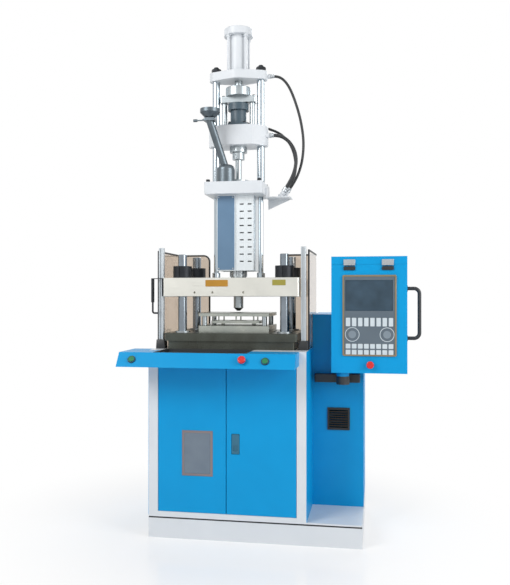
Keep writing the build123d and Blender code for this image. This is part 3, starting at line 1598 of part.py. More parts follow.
# Swivel arm: beam across the side cabinet, and the arm and pivot of the control box
arm_top = arm_bottom + arm_height
beam_mid_y = side_front - arm_beam_depth / 2
with BuildPart() as swivel_arm:
    with BuildSketch(level(arm_bottom)):
        with Locations(((arm_left + arm_right) / 2, beam_mid_y)):
            RectangleRounded(arm_right - arm_left, arm_beam_depth, arm_corner)
        with Locations((pivot_x, (beam_mid_y + pivot_y) / 2)):
            Rectangle(arm_width, beam_mid_y - pivot_y)
        with Locations((pivot_x, pivot_y)):
            Circle(arm_width / 2)
    extrude(amount=arm_height)
    with BuildSketch(level(arm_top)):
        with Locations((pivot_x, pivot_y)):
            Circle(pivot_radius)
    extrude(amount=pivot_height)
swivel_arm.part.label = "swivel_arm"
export_step(swivel_arm.part, "parts/swivel_arm.step")

# Control box: case open in front below a fixed top strip, on a hub round the pivot
box_bottom = arm_top + free_gap + hub_height
box_top = box_bottom + box_height
box_mid = ((box_left + box_right) / 2, (box_front + box_back) / 2)
box_width = box_right - box_left
box_depth = box_back - box_front
strip_bottom = box_top - box_strip
with BuildPart() as control_box:
    with BuildSketch(level(box_bottom)):
        with Locations(box_mid):
            Rectangle(box_width, box_depth)
    extrude(amount=box_height)
    with BuildSketch(level(box_bottom + box_sheet)):
        with Locations(box_mid):
            Rectangle(box_width - 2 * box_sheet, box_depth - 2 * box_sheet)
    extrude(amount=box_height - 2 * box_sheet, mode=Mode.SUBTRACT)
    with BuildSketch(facing_front(box_front)):
        with Locations((box_mid[0], (box_bottom + strip_bottom) / 2)):
            Rectangle(box_width - 2 * box_lip, strip_bottom - box_bottom - 2 * box_lip)
    extrude(amount=-box_sheet, mode=Mode.SUBTRACT)
    with BuildSketch(facing_front(box_front)):
        with Locations((box_mid[0], box_top - box_strip / 2)):
            Rectangle(box_width, box_strip)
    extrude(amount=front_sheet)
    with BuildSketch(level(box_bottom)):
        with Locations((pivot_x, pivot_y)):
            Circle(hub_radius)
    extrude(amount=-hub_height)
    with BuildSketch(level(box_bottom - hub_height)):
        with Locations((pivot_x, pivot_y)):
            Circle(pivot_radius + running_fit)
    extrude(amount=hub_height + box_sheet, mode=Mode.SUBTRACT)
control_box.part.label = "control_box"
export_step(control_box.part, "parts/control_box.step")

# Control door: front sheet with an inner rim, hinged below the strip
door_top = strip_bottom - front_gap
door_mid = (box_mid[0], (box_bottom + door_top) / 2)
rim_mid = (box_mid[0], (box_bottom + strip_bottom) / 2)
rim_width = box_width - 2 * box_lip - 2 * free_gap
rim_height = strip_bottom - box_bottom - 2 * box_lip - 2 * door_gap
stop_spot = (box_stop_x, box_front - front_sheet, box_stop_z)
stop_plane = Plane(stop_spot, x_dir=(1, 0, 0), z_dir=(0, -1, 0))
with BuildPart() as control_door:
    with BuildSketch(facing_front(box_front)):
        with Locations(door_mid):
            Rectangle(box_width, door_top - box_bottom)
    extrude(amount=front_sheet)
    with BuildSketch(facing_front(box_front)):
        with Locations(rim_mid):
            Rectangle(rim_width, rim_height)
            Rectangle(rim_width - 2 * box_sheet, rim_height - 2 * box_sheet, mode=Mode.SUBTRACT)
    extrude(amount=-front_rim)
    with BuildSketch(stop_plane):
        Circle(stop_neck + running_fit + collar_wall)
    extrude(amount=stop_collar_height)
    with BuildSketch(stop_plane.offset(stop_collar_height)):
        Circle(stop_neck + running_fit)
    extrude(amount=-(stop_collar_height + front_sheet), mode=Mode.SUBTRACT)
control_door.part.label = "control_door"
export_step(control_door.part, "parts/control_door.step")

make_stop_button("box_stop", stop_plane)

# Operator panel: keypad plate with a screen recess and raised membrane keys
panel_mid = ((panel_left + panel_right) / 2, (panel_bottom + panel_top) / 2)
screen_mid = ((screen_left + screen_right) / 2, (screen_bottom + screen_top) / 2)
panel_back = box_front - front_sheet
panel_face = panel_back - panel_thickness
with BuildPart() as operator_panel:
    with BuildSketch(facing_front(panel_back)):
        with Locations(panel_mid):
            RectangleRounded(panel_right - panel_left, panel_top - panel_bottom, panel_corner)
    extrude(amount=panel_thickness)
    with BuildSketch(facing_front(panel_face)):
        with Locations(screen_mid):
            Rectangle(screen_right - screen_left, screen_top - screen_bottom)
    extrude(amount=-screen_recess, mode=Mode.SUBTRACT)
    with BuildSketch(facing_front(panel_face)):
        with Locations((panel_mid[0], key_row_z)):
            with GridLocations(key_pitch, 1, key_row_count, 1):
                RectangleRounded(key_width, key_length, key_corner)
        with Locations((pad_left_x, pad_row_z), (pad_right_x, pad_row_z)):
            Circle(pad_radius)
        with Locations((panel_mid[0], small_key_row_z)):
            with GridLocations(key_pitch, key_pitch, small_key_columns, 2):
                RectangleRounded(small_key, small_key, key_corner)
    extrude(amount=key_height)
operator_panel.part.label = "operator_panel"
export_step(operator_panel.part, "parts/operator_panel.step")

# Control handle: bent tube with a flange at each end, on the box's right side
with BuildPart() as control_handle:
    with BuildLine() as handle_path:
        FilletPolyline(
            (box_right, box_mid[1], handle_bottom),
            (box_right + handle_reach, box_mid[1], handle_bottom),
            (box_right + handle_reach, box_mid[1], handle_top),
            (box_right, box_mid[1], handle_top),
            radius=handle_bend,
        )
    with BuildSketch(facing_side(box_right)):
        with Locations((box_mid[1], handle_bottom)):
            Circle(handle_radius)
    sweep(path=handle_path.wires()[0])
    with BuildSketch(facing_side(box_right)):
        with Locations((box_mid[1], handle_bottom), (box_mid[1], handle_top)):
            Circle(handle_flange_radius)
    extrude(amount=handle_flange_height)
control_handle.part.label = "control_handle"
export_step(control_handle.part, "parts/control_handle.step")
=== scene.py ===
"""Vertical injection moulding machine: finishes, hoses, trim, studio light and camera.

Lengths in the classes are in millimetres, in the frame of the CAD: the origin on the
floor below the injection axis, +Z up and +Y to the back of the machine.
"""

import logging
import math
from collections.abc import Iterable
from dataclasses import dataclass, field
from enum import Enum

import bmesh
import bpy
import numpy as np
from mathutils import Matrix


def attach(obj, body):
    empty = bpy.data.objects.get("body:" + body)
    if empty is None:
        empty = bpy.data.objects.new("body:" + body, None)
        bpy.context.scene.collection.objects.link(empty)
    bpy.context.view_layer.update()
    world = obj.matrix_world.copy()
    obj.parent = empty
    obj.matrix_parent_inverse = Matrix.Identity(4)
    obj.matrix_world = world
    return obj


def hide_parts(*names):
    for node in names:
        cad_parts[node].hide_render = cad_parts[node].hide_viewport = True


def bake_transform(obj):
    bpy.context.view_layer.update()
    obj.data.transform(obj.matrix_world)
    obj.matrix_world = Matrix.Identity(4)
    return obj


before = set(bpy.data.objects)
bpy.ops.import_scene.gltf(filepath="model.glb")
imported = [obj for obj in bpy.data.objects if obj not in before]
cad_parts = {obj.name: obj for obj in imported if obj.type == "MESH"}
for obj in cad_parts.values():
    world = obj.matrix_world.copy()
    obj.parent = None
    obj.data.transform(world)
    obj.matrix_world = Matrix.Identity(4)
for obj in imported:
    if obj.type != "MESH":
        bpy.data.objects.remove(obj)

LOG = logging.getLogger("moulding_machine")
Point = tuple[float, float, float]
Pair = tuple[float, float]
Sheet = tuple[float, float, float]  # thickness, corner radius and bevel of a plate

MM = 0.001
QUARTER = math.pi / 2
WELD = 1e-6  # metres within which two vertices become one
SHARP = 0.01  # smallest corner radius of a slab
MARK_DETAIL, PATCH_DETAIL = 3.0, 2.0  # octaves of the two noises
NOISE_SPAN = (0.3, 0.7)  # holds nearly all values of a noise
COAT_ROUGHNESS = 0.08
SHARP_ANGLE = 35.0  # degrees past which an edge isn't smoothed


class Body(Enum):
    """Moving body of the CAD that a piece rides on."""

    BASE = "base"
    CLAMP = "clamp_unit"
    CARRIAGE = "injection_carriage"
    HEAD = "injection_head"
    LEFT_DOOR = "left_door"
    BOX = "control_box"
    BOX_DOOR = "control_door"


class Texture(Enum):
    """How the marks of making are drawn."""

    CLOUD = "soft hills, as on sprayed paint, or lines where one axis is drawn long"
    PEBBLE = "small raised cells, as spark erosion leaves them in a mould"


def linear(code: str) -> tuple[float, float, float, float]:
    """Turn an sRGB hex colour into linear light.

    A channel c becomes c / 12.92 up to 0.04045, and ((c + 0.055) / 1.055) ^ 2.4 above.

    Args:
        code: colour as "#RRGGBB".

    Returns:
        Red, green, blue and an alpha of one.
    """
    srgb = np.array([int(code[i:i + 2], 16) for i in (1, 3, 5)]) / 255
    light = np.where(srgb <= 0.04045, srgb / 12.92, ((srgb + 0.055) / 1.055) ** 2.4)
    return (*light.tolist(), 1.0)


def add_node(
    tree: bpy.types.NodeTree,
    kind: str,
    sockets: dict[str | int, object] | None = None,
    **settings: object,
) -> bpy.types.Node:
    """Add one node, set its properties, and set or link its inputs.

    Args:
        tree: node tree that takes the node.
        kind: Blender's name for the kind of node.
        sockets: input name or number, with a value or the output to link.
        **settings: properties of the node.

    Returns:
        The new node.
    """
    node = tree.nodes.new(kind)
    for name, value in settings.items():
        setattr(node, name, value)
    for key, value in (sockets or {}).items():
        if isinstance(value, bpy.types.NodeSocket):
            tree.links.new(value, node.inputs[key])
        else:
            node.inputs[key].default_value = value
    return node


@dataclass(frozen=True)
class Finish:
    """Real material with the marks of its making.

    tint and shade are the colours of its light and dark patches, and cloud the size of
    the patches. gloss is the range of its roughness, marks the length of one mark along
    X, Y and Z, and relief its height.
    """

    name: str
    tint: str
    shade: str
    gloss: Pair
    marks: Point
    relief: float
    cloud: float = 160.0
    texture: Texture = Texture.CLOUD
    metallic: float = 0.0
    coat: float = 0.0
    clear: float = 0.0
    ior: float = 1.5
    shine: float = 0.5

    def material(self) -> bpy.types.Material:
        """Give the material of this finish, built on first use.

        Returns:
            Material whose colour, roughness and bump come from Object coordinates.
        """
        made = bpy.data.materials.get(self.name)
        if made:
            return made
        made = bpy.data.materials.new(self.name)
        made.use_nodes = True
        tree = made.node_tree
        tree.nodes.clear()
        place = add_node(tree, "ShaderNodeTexCoord").outputs["Object"]
        scaled = add_node(
            tree, "ShaderNodeMapping",
            {"Vector": place, "Scale": [1 / (size * MM) for size in self.marks]},
        ).outputs[0]
        if self.texture is Texture.PEBBLE:
            marks = add_node(
                tree, "ShaderNodeTexVoronoi", {"Vector": scaled, "Scale": 1.0}
            ).outputs[0]
        else:
            marks = add_node(
                tree, "ShaderNodeTexNoise",
                {"Vector": scaled, "Scale": 1.0, "Detail": MARK_DETAIL},
            ).outputs[0]
        patches = add_node(
            tree, "ShaderNodeTexNoise",
            {"Vector": place, "Scale": 1 / (self.cloud * MM), "Detail": PATCH_DETAIL},
        ).outputs[0]
        colour = add_node(
            tree, "ShaderNodeMix", {0: patches, 6: linear(self.tint), 7: linear(self.shade)},
            data_type="RGBA",
        ).outputs[2]
        roughness = add_node(
            tree, "ShaderNodeMapRange",
            {"Value": marks, "From Min": NOISE_SPAN[0], "From Max": NOISE_SPAN[1],
             "To Min": self.gloss[0], "To Max": self.gloss[1]},
        ).outputs[0]
        bump = add_node(
            tree, "ShaderNodeBump",
            {"Height": marks, "Distance": self.relief * MM, "Strength": 1.0},
        ).outputs[0]
        values = {
            "Base Color": colour, "Roughness": roughness, "Normal": bump,
            "Metallic": self.metallic, "Coat Weight": self.coat,
            "Coat Roughness": COAT_ROUGHNESS, "Transmission Weight": self.clear,
            "Specular IOR Level": self.shine,
        }
        if not self.metallic:
            values["IOR"] = self.ior
        shader = add_node(tree, "ShaderNodeBsdfPrincipled", values)
        add_node(tree, "ShaderNodeOutputMaterial", {"Surface": shader.outputs[0]})
        return made


# Sprayed two-pack enamel on sheet and castings: a soft gloss with faint orange peel,
# drawn 7 mm wide because the real 2 mm hills are too fine to show.
WHITE = Finish(
    "sprayed_white_enamel", "#D9DDE1", "#CFD4D9", (0.28, 0.38), (7, 7, 7), 0.02, shine=0.35
)
BLUE = Finish(
    "sprayed_blue_enamel", "#0097D3", "#008FCA", (0.32, 0.42), (7, 7, 7), 0.02, shine=0.22
)
# Satin enamel on tray, pump motor, arm and handle: dark with wide soft lights. On the swivel arm
# the black also paints the shade under the control box.
BLACK = Finish("satin_black_enamel", "#1D2023", "#2A2E32", (0.4, 0.52), (6, 6, 6), 0.03)
# Hammered enamel on the screw motor: blue-grey, lightened to paint part of its highlight into the
# colour, with dimples that break up its lights.
MOTOR = Finish("hammered_blue_grey_enamel", "#4C606C", "#33434D", (0.34, 0.5), (9, 9, 9), 0.08)
# Face milled steel: pale, with long cutter lines along the machine's width.
MILLED = Finish(
    "face_milled_steel", "#E0DFD7", "#CBCBC4", (0.27, 0.42), (120, 2, 2), 0.012, 90, metallic=1.0
)
# Tool steel under an oil film: warmer and greyer, with the lines running front to back.
OILED = Finish(
    "oiled_tool_steel", "#BDBFB6", "#8D9490", (0.2, 0.38), (2, 110, 2), 0.012, 70, metallic=1.0
)
# Cast iron in dark brown-green patches, half wet. The dark colour paints the shade and the dark
# tray's reflection on the fixed platen's front.
PAINTED_SHADE_IRON = Finish(
    "dark_cast_iron_painted_shade", "#5C625B", "#37342D", (0.22, 0.5), (5, 5, 5), 0.05, 120, metallic=0.7
)
# Turned steel: rings round the vertical axis, seen as soft level bands of light.
TURNED = Finish(
    "turned_steel", "#B4BBBE", "#9AA2A6", (0.24, 0.4), (300, 300, 1.6), 0.01, metallic=1.0
)
# Hard chrome, ground round: near mirror with the faintest rings.
CHROME = Finish(
    "ground_hard_chrome", "#B9C2C8", "#A3ADB4", (0.09, 0.16), (300, 300, 1.2), 0.003,
    metallic=1.0,
)
# The same chrome on the tie bars, darker to paint the shade on them, and less sharp.
SHADED_CHROME = Finish(
    "hard_chrome_painted_shade", "#949DA5", "#747C84", (0.13, 0.22), (300, 300, 1.2), 0.003, 70,
    metallic=1.0,
)
# Rolled stainless sheet: bright, with the rolling lines upright.
STAINLESS = Finish(
    "rolled_stainless_sheet", "#DEE4E7", "#CFD6DA", (0.26, 0.4), (2, 2, 180), 0.006,
    metallic=1.0,
)
# Cast and brushed hopper parts: a darker metal, whose colour paints the dark reflections on them.
DARK_REFLECTION_STEEL = Finish(
    "brushed_steel_painted_dark_reflection", "#737C82", "#545D63", (0.3, 0.46), (2, 2, 60), 0.01, 50, metallic=1.0
)
# Brushed plate under a thin clear coat; its blue-grey colour is a painted blue reflection on its
# face. Upright brush lines.
BLUE_REFLECTION_PLATE = Finish(
    "brushed_plate_painted_blue_reflection", "#66839E", "#54718C", (0.3, 0.42), (1.5, 1.5, 160), 0.008,
    metallic=0.55, coat=0.2,
)
# Oil-blackened steel of nuts, screws and the switch arm: dark, a little worn.
BLACKENED = Finish(
    "oil_blackened_steel", "#33363A", "#212327", (0.36, 0.52), (3, 3, 3), 0.02, 25, metallic=0.75
)
# Zinc plated fittings: bright, with an even satin.
ZINC = Finish(
    "zinc_plated_steel", "#BFC4C7", "#A9AEB3", (0.26, 0.34), (3, 3, 3), 0.004, 60, metallic=1.0
)
# Extruded aluminium, clear anodised: matt silver with upright die lines.
ALUMINIUM = Finish(
    "extruded_anodised_aluminium", "#C2C8CC", "#AEB5BA", (0.3, 0.44), (1.5, 1.5, 220), 0.008,
    metallic=1.0,
)
# Polycarbonate sheet with a light bronze tint: sees through, with soft bright reflections.
CLEAR = Finish(
    "bronze_tint_polycarbonate", "#CDBFB0", "#C0B1A1", (0.01, 0.03), (60, 60, 60), 0.004,
    clear=1.0, ior=1.58,
)
# Extruded rubber of hoses, and of the black strip that paints the shade in the plinth's groove:
# black, nearly matt, faintly cloth-marked.
RUBBER = Finish("extruded_hose_rubber", "#17191B", "#232629", (0.42, 0.56), (3, 3, 3), 0.05, 40)
# Moulded plastics with the fine pebble of a spark-eroded mould, so no sharp lights.
PANEL = Finish(
    "moulded_grey_plastic", "#5B6872", "#515E69", (0.42, 0.54), (2.5, 2.5, 2.5), 0.04,
    texture=Texture.PEBBLE,
)
DARK_PLASTIC = Finish(
    "moulded_black_plastic", "#131517", "#1E2124", (0.4, 0.55), (2.5, 2.5, 2.5), 0.05,
    texture=Texture.PEBBLE,
)
LATCH = Finish(
    "moulded_teal_grey_plastic", "#2F6E88", "#285F77", (0.36, 0.5), (2.5, 2.5, 2.5), 0.04,
    texture=Texture.PEBBLE,
)
WINDOW = Finish(
    "moulded_warm_grey_frame", "#85797A", "#776D70", (0.4, 0.5), (2.5, 2.5, 2.5), 0.04,
    texture=Texture.PEBBLE,
)
# Plastics from a polished mould, on buttons and stops: deep colour with small bright lights.
GREEN = Finish(
    "polished_green_plastic", "#0E7B45", "#0B6A3B", (0.18, 0.28), (5, 5, 5), 0.01, 12, coat=0.3
)
RED = Finish(
    "polished_red_plastic", "#D81A18", "#C21412", (0.18, 0.28), (5, 5, 5), 0.01, 14, coat=0.3
)
# Membrane keys and pads, screen printed from behind: silky and even.
KEYS = Finish("pale_membrane_key", "#CDD6DB", "#BCC7CE", (0.36, 0.46), (4, 4, 4), 0.008, 30)
PADS = Finish("grey_membrane_pad", "#7F8C95", "#727F89", (0.36, 0.46), (4, 4, 4), 0.008, 30)
# Smoked glass over a display and tinted glass over a gauge: dark, sharp reflections.
SCREEN = Finish(
    "smoked_display_glass", "#20303A", "#41586A", (0.05, 0.1), (80, 80, 80), 0.002, 90, shine=0.3
)
PANE = Finish(
    "tinted_gauge_glass", "#5C6B7A", "#6D7A87", (0.08, 0.14), (80, 80, 80), 0.002, 70, coat=0.3
)
# Anodised aluminium and brass plates: bare, with lines along their length.
TRIM = Finish(
    "bronze_anodised_trim", "#97876A", "#80735A", (0.34, 0.46), (3, 3, 40), 0.006, metallic=0.5
)
BRASS = Finish(
    "brushed_brass_plate", "#B98A3E", "#A77A31", (0.28, 0.4), (60, 2, 1.2), 0.008, metallic=0.85
)
OLIVE = Finish(
    "anodised_olive_plate", "#A49B45", "#8F8740", (0.32, 0.44), (60, 2, 1.2), 0.008, metallic=0.5
)

CAD_FINISHES: dict[Finish, tuple[str, ...]] = {
    WHITE: (
        "plinth", "machine_frame", "deck_plate", "clamp_cylinder", "tail_plate", "oil_tank",
        "injection_base", "crown_plate", "injection_cylinder", "injection_block",
        "hose_bracket",
    ),
    BLUE: (
        "side_panels", "rear_panel", "control_apron", "left_door", "right_door", "side_door",
        "side_cabinet", "control_box", "control_door",
    ),
    # The swivel arm's black also paints the shade under the control box.
    BLACK: ("drip_tray", "pump_motor", "swivel_arm", "control_handle"),
    # The screw motor's lighter blue-grey partly paints its highlight.
    MOTOR: ("screw_motor",),
    BLACKENED: ("tie_bar_nuts", "switch_arm"),
    MILLED: ("moving_platen",),
    # The fixed platen's dark colour paints shade and the tray's reflection.
    PAINTED_SHADE_IRON: ("fixed_platen",),
    OILED: ("lower_tool_plate", "stripper_plate", "ejector_plate"),
    TURNED: ("tie_bar_bushes", "tool_pillars", "barrel", "thrust_yoke", "yoke_rods", "screw"),
    STAINLESS: ("barrel_cover",),
    # The hopper parts' dark colour paints their dark reflections.
    DARK_REFLECTION_STEEL: ("feed_chute", "hopper", "hopper_gate"),
    CHROME: ("clamp_ram", "guide_rods", "columns"),
    # The tie bars' darker chrome paints the shade on them.
    SHADED_CHROME: ("tie_bars",),
    ALUMINIUM: ("guard_posts", "heater_bands"),
    CLEAR: ("platen_guards",),
    RUBBER: ("crown_hose", "block_hose", "motor_hose"),
    PANEL: ("operator_panel",),
    WINDOW: ("meter_window",),
    GREEN: ("left_button", "right_button"),
    RED: ("apron_stop", "box_stop"),
    DARK_PLASTIC: ("fan_grille",),
    LATCH: ("door_latch",),
}


@dataclass(frozen=True)
class Seat:
    """Place of a small part: where its origin lies and which way its Z and X point."""

    origin: Point
    z: Point = (0.0, 0.0, 1.0)
    x: Point = (1.0, 0.0, 0.0)

    def lay(self, points: np.ndarray) -> np.ndarray:
        """Move points from the part's own axes to the machine's.

        A point becomes origin + a X + b Y + c Z, where Y is Z cross X.

        Args:
            points: array whose last axis holds a, b and c.

        Returns:
            Array of the same shape.
        """
        z = np.array(self.z) / np.linalg.norm(self.z)
        x = np.array(self.x) - np.dot(self.x, z) * z
        x /= np.linalg.norm(x)
        return np.array(self.origin) + points @ np.stack([x, np.cross(z, x), z])


def circle(radius: float, sides: int = 48) -> np.ndarray:
    """Give points (radius cos t, radius sin t) at equal steps of t.

    Args:
        radius: of the circle.
        sides: number of points.

    Returns:
        Array of sides by 2.
    """
    turn = np.arange(sides) * 2 * math.pi / sides
    return radius * np.stack([np.cos(turn), np.sin(turn)], axis=1)


def hexagon(across: float, cut: float = math.inf, sides: int = 48) -> np.ndarray:
    """Give a hexagon's outline, its corners trimmed by a circle.

    The distance from the middle is half the width across flats over the cosine of the
    angle from the nearest flat, and never more than the circle's radius.

    Args:
        across: width across flats.
        cut: radius of the trimming circle.
        sides: number of points, a multiple of 12.

    Returns:
        Array of sides by 2.
    """
    turn = np.arange(sides) * 2 * math.pi / sides
    reach = across / 2 / np.cos(np.mod(turn, math.pi / 3) - math.pi / 6)
    return np.minimum(reach, cut)[:, None] * circle(1.0, sides)


def rounded_rectangle(width: float, height: float, radius: float, steps: int = 6) -> np.ndarray:
    """Give a rectangle's outline with round corners.

    Each point is its corner's centre plus radius (cos t, sin t), and t runs through a
    quarter turn in each corner.

    Args:
        width: full size along X.
        height: full size along Y.
        radius: of the corners.
        steps: points in a corner.

    Returns:
        Array of 4 steps by 2.
    """
    turn = (np.arange(4)[:, None] + np.linspace(0, 1, steps)) * QUARTER
    side = np.array([[1, 1], [-1, 1], [-1, -1], [1, -1]])[:, None, :]
    centre = side * (np.array([width, height]) / 2 - radius)
    return (centre + radius * np.stack([np.cos(turn), np.sin(turn)], axis=2)).reshape(-1, 2)


def stack(outlines: Iterable[np.ndarray], heights: Iterable[float]) -> np.ndarray:
    """Lay outlines above each other: ring k is outline k at height k.

    Args:
        outlines: arrays of n by 2 with the same n.
        heights: one for each outline.

    Returns:
        Array of rings by n by 3.
    """
    flat, z = np.stack(list(outlines)), np.array(list(heights))
    return np.concatenate([flat, np.broadcast_to(z[:, None, None], (*flat.shape[:2], 1))], axis=2)


def slab(width: float, height: float, thickness: float, radius: float, edge: float) -> np.ndarray:
    """Give the rings of a plate with round corners and a bevelled front edge.

    Args:
        width: along the part's X.
        height: along its Y.
        thickness: along its Z, from zero up.
        radius: of its corners.
        edge: width of the bevel.

    Returns:
        Array of 3 by n by 3.
    """
    full = rounded_rectangle(width, height, radius)
    small = rounded_rectangle(width - 2 * edge, height - 2 * edge, max(radius - edge, SHARP))
    return stack((full, full, small), (0, thickness - edge, thickness))


def along(line: np.ndarray, side: np.ndarray, up: np.ndarray, profile: np.ndarray) -> np.ndarray:
    """Carry a flat profile along a path.

    Point j of ring i is line i + profile j's first number times side i + its second
    number times up i, so mitred corners take longer vectors.

    Args:
        line: path, n by 3.
        side: vector at each point that the profile's X follows, n by 3.
        up: vector at each point that its Y follows, n by 3.
        profile: outline, m by 2.

    Returns:
        Array of n by m by 3.
    """
    return (
        line[:, None] + profile[None, :, :1] * side[:, None] + profile[None, :, 1:] * up[:, None]
    )


@dataclass
class Piece:
    """One piece of the scene, gathered from closed skins."""

    name: str
    points: list[np.ndarray] = field(default_factory=list)
    faces: list[list[int]] = field(default_factory=list)

    def skin(
        self, rings: np.ndarray, seat: Seat = Seat((0.0, 0.0, 0.0)), looped: bool = False
    ) -> "Piece":
        """Add a skin over rings of points, with end caps unless the rings close a loop.

        Face (i, j) joins points j and j + 1 of rings i and i + 1.

        Args:
            rings: array of rings by points by 3.
            seat: where the skin goes.
            looped: whether the last ring joins the first.

        Returns:
            The piece itself.
        """
        rows, sides, _ = rings.shape
        start = sum(len(points) for points in self.points)
        i = np.arange(rows if looped else rows - 1)[:, None]
        j = np.arange(sides)[None, :]
        after, beside = (i + 1) % rows * sides, (j + 1) % sides
        quads = np.stack([i * sides + j, i * sides + beside, after + beside, after + j], axis=-1)
        self.faces += (quads.reshape(-1, 4) + start).tolist()
        if not looped:
            last = start + (rows - 1) * sides
            self.faces += [
                list(range(start + sides - 1, start - 1, -1)), list(range(last, last + sides)),
            ]
        self.points.append(seat.lay(rings).reshape(-1, 3))
        return self

    def place(self, finish: Finish, body: Body, slot: str) -> None:
        """Make the mesh, dress it and let it ride on its body.

        Args:
            finish: of its surface.
            body: that carries it.
            slot: material slot of the record; not used.
        """
        mesh = bpy.data.meshes.new(self.name)
        mesh.from_pydata((np.concatenate(self.points) * MM).tolist(), [], self.faces)
        clean = bmesh.new()
        clean.from_mesh(mesh)
        bmesh.ops.remove_doubles(clean, verts=clean.verts, dist=WELD)
        bmesh.ops.recalc_face_normals(clean, faces=clean.faces)
        clean.to_mesh(mesh)
        clean.free()
        mesh.shade_smooth()
        mesh.set_sharp_from_angle(angle=math.radians(SHARP_ANGLE))
        mesh.materials.append(finish.material())
        made = bpy.data.objects.new(self.name, mesh)
        bpy.context.scene.collection.objects.link(made)
        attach(made, body.value)
        LOG.info("%s: %d faces, %s, on %s", self.name, len(mesh.polygons), finish.name, body.value)


def socket_screw(radius: float, height: float, sides: int = 24) -> np.ndarray:
    """Give the rings of a cap screw's head with its hexagon socket.

    Args:
        radius: of the head.
        height: of the head.
        sides: number of points in a ring.

    Returns:
        Rings from the seat, up the side, over the edge and down into the socket.
    """
    edge, floor = 0.12 * radius, 0.45 * height
    rim, socket = circle(radius, sides), hexagon(1.05 * radius, sides=sides)
    return stack(
        (rim, rim, circle(radius - edge, sides), socket, socket),
        (0, height - edge, height, height, floor),
    )


def stud_nut(across: float, height: float, stud: float, reach: float) -> np.ndarray:
    """Give the rings of a hexagon nut on a washer, with its stud's end above it.

    Args:
        across: width across flats.
        height: of the nut with its washer.
        stud: radius of the stud.
        reach: height of the stud's end above the nut.

    Returns:
        Rings from the seat to the stud's end.
    """
    rim, corner, edge = 0.56 * across, 0.53 * across, 0.08 * across
    washer, top, point = 0.14 * height, height + reach, 2
    flats = hexagon(across)
    return stack(
        (circle(rim), circle(rim), flats, flats, hexagon(across, corner),
         circle(stud), circle(stud), circle(0.85 * stud)),
        (0, washer, washer, height - edge, height, height, top - point, top),
    )


@dataclass
class Tower:
    """Fasteners and bare plate of the injection tower.

    A screw is given as the radius and height of its head.
    """

    column_x: float = 130.0
    crown_top: float = 2570.0
    nut_across: float = 50.0
    nut_height: float = 24.0
    stud_radius: float = 14.0
    stud_reach: float = 12.0
    carriage_top: float = 1924.0
    carriage_spots: tuple[Pair, ...] = ((-145, -145), (145, -145), (-145, 90), (145, 90))
    carriage_screw: Pair = (11.0, 14.0)
    motor_foot_top: float = 2272.0
    motor_spread: float = 43.0
    motor_screw: Pair = (8.0, 9.0)
    yoke_top: float = 2430.0
    yoke_screw_x: float = 88.0
    yoke_screw: Pair = (9.0, 10.0)
    plate_middle: Point = (-52.5, -100.0, 1643.5)
    plate_size: Pair = (97.0, 415.0)
    plate_sheet: Sheet = (3.0, 4.0, 0.8)
    plate_screw: Pair = (4.0, 3.0)
    plate_screw_inset: float = 8.0

    def nuts(self) -> None:
        """Put a nut on the end of each column, above the crown."""
        piece = Piece("column_nuts")
        nut = stud_nut(self.nut_across, self.nut_height, self.stud_radius, self.stud_reach)
        for x in (-self.column_x, self.column_x):
            piece.skin(nut, Seat((x, 0, self.crown_top)))
        piece.place(BLACKENED, Body.CARRIAGE, "dark_steel")

    def screws(self) -> None:
        """Put the cap screws of the carriage, the screw motor and the yoke."""
        carriage = Piece("carriage_screws")
        for x, y in self.carriage_spots:
            carriage.skin(socket_screw(*self.carriage_screw), Seat((x, y, self.carriage_top)))
        carriage.place(BLACKENED, Body.CARRIAGE, "dark_steel")
        head = Piece("head_screws")
        for x in (-self.motor_spread, self.motor_spread):
            for y in (-self.motor_spread, self.motor_spread):
                head.skin(socket_screw(*self.motor_screw), Seat((x, y, self.motor_foot_top)))
        for x in (-self.yoke_screw_x, self.yoke_screw_x):
            head.skin(socket_screw(*self.yoke_screw), Seat((x, 0, self.yoke_top)))
        head.place(BLACKENED, Body.HEAD, "dark_steel")

    def cover_plate(self) -> None:
        """Fix a bare plate on the left half of the barrel cover's front, with four screws."""
        width, height = self.plate_size
        inset = self.plate_screw_inset
        front = Seat(self.plate_middle, (0, -1, 0))
        plate = slab(width, height, *self.plate_sheet)
        # The plate's blue-grey colour paints the blue reflection on its face.
        Piece("cover_plate").skin(plate, front).place(BLUE_REFLECTION_PLATE, Body.CARRIAGE, "aluminium")
        screws = Piece("cover_screws")
        for x in (-width / 2 + inset, width / 2 - inset):
            for z in (-height / 2 + inset, height / 2 - inset):
                spot = front.lay(np.array([x, z, self.plate_sheet[0]]))
                screws.skin(socket_screw(*self.plate_screw), Seat(tuple(spot), (0, -1, 0)))
        screws.place(ZINC, Body.CARRIAGE, "machined_steel")

    def build(self) -> None:
        """Build the tower's pieces."""
        self.nuts()
        self.screws()
        self.cover_plate()


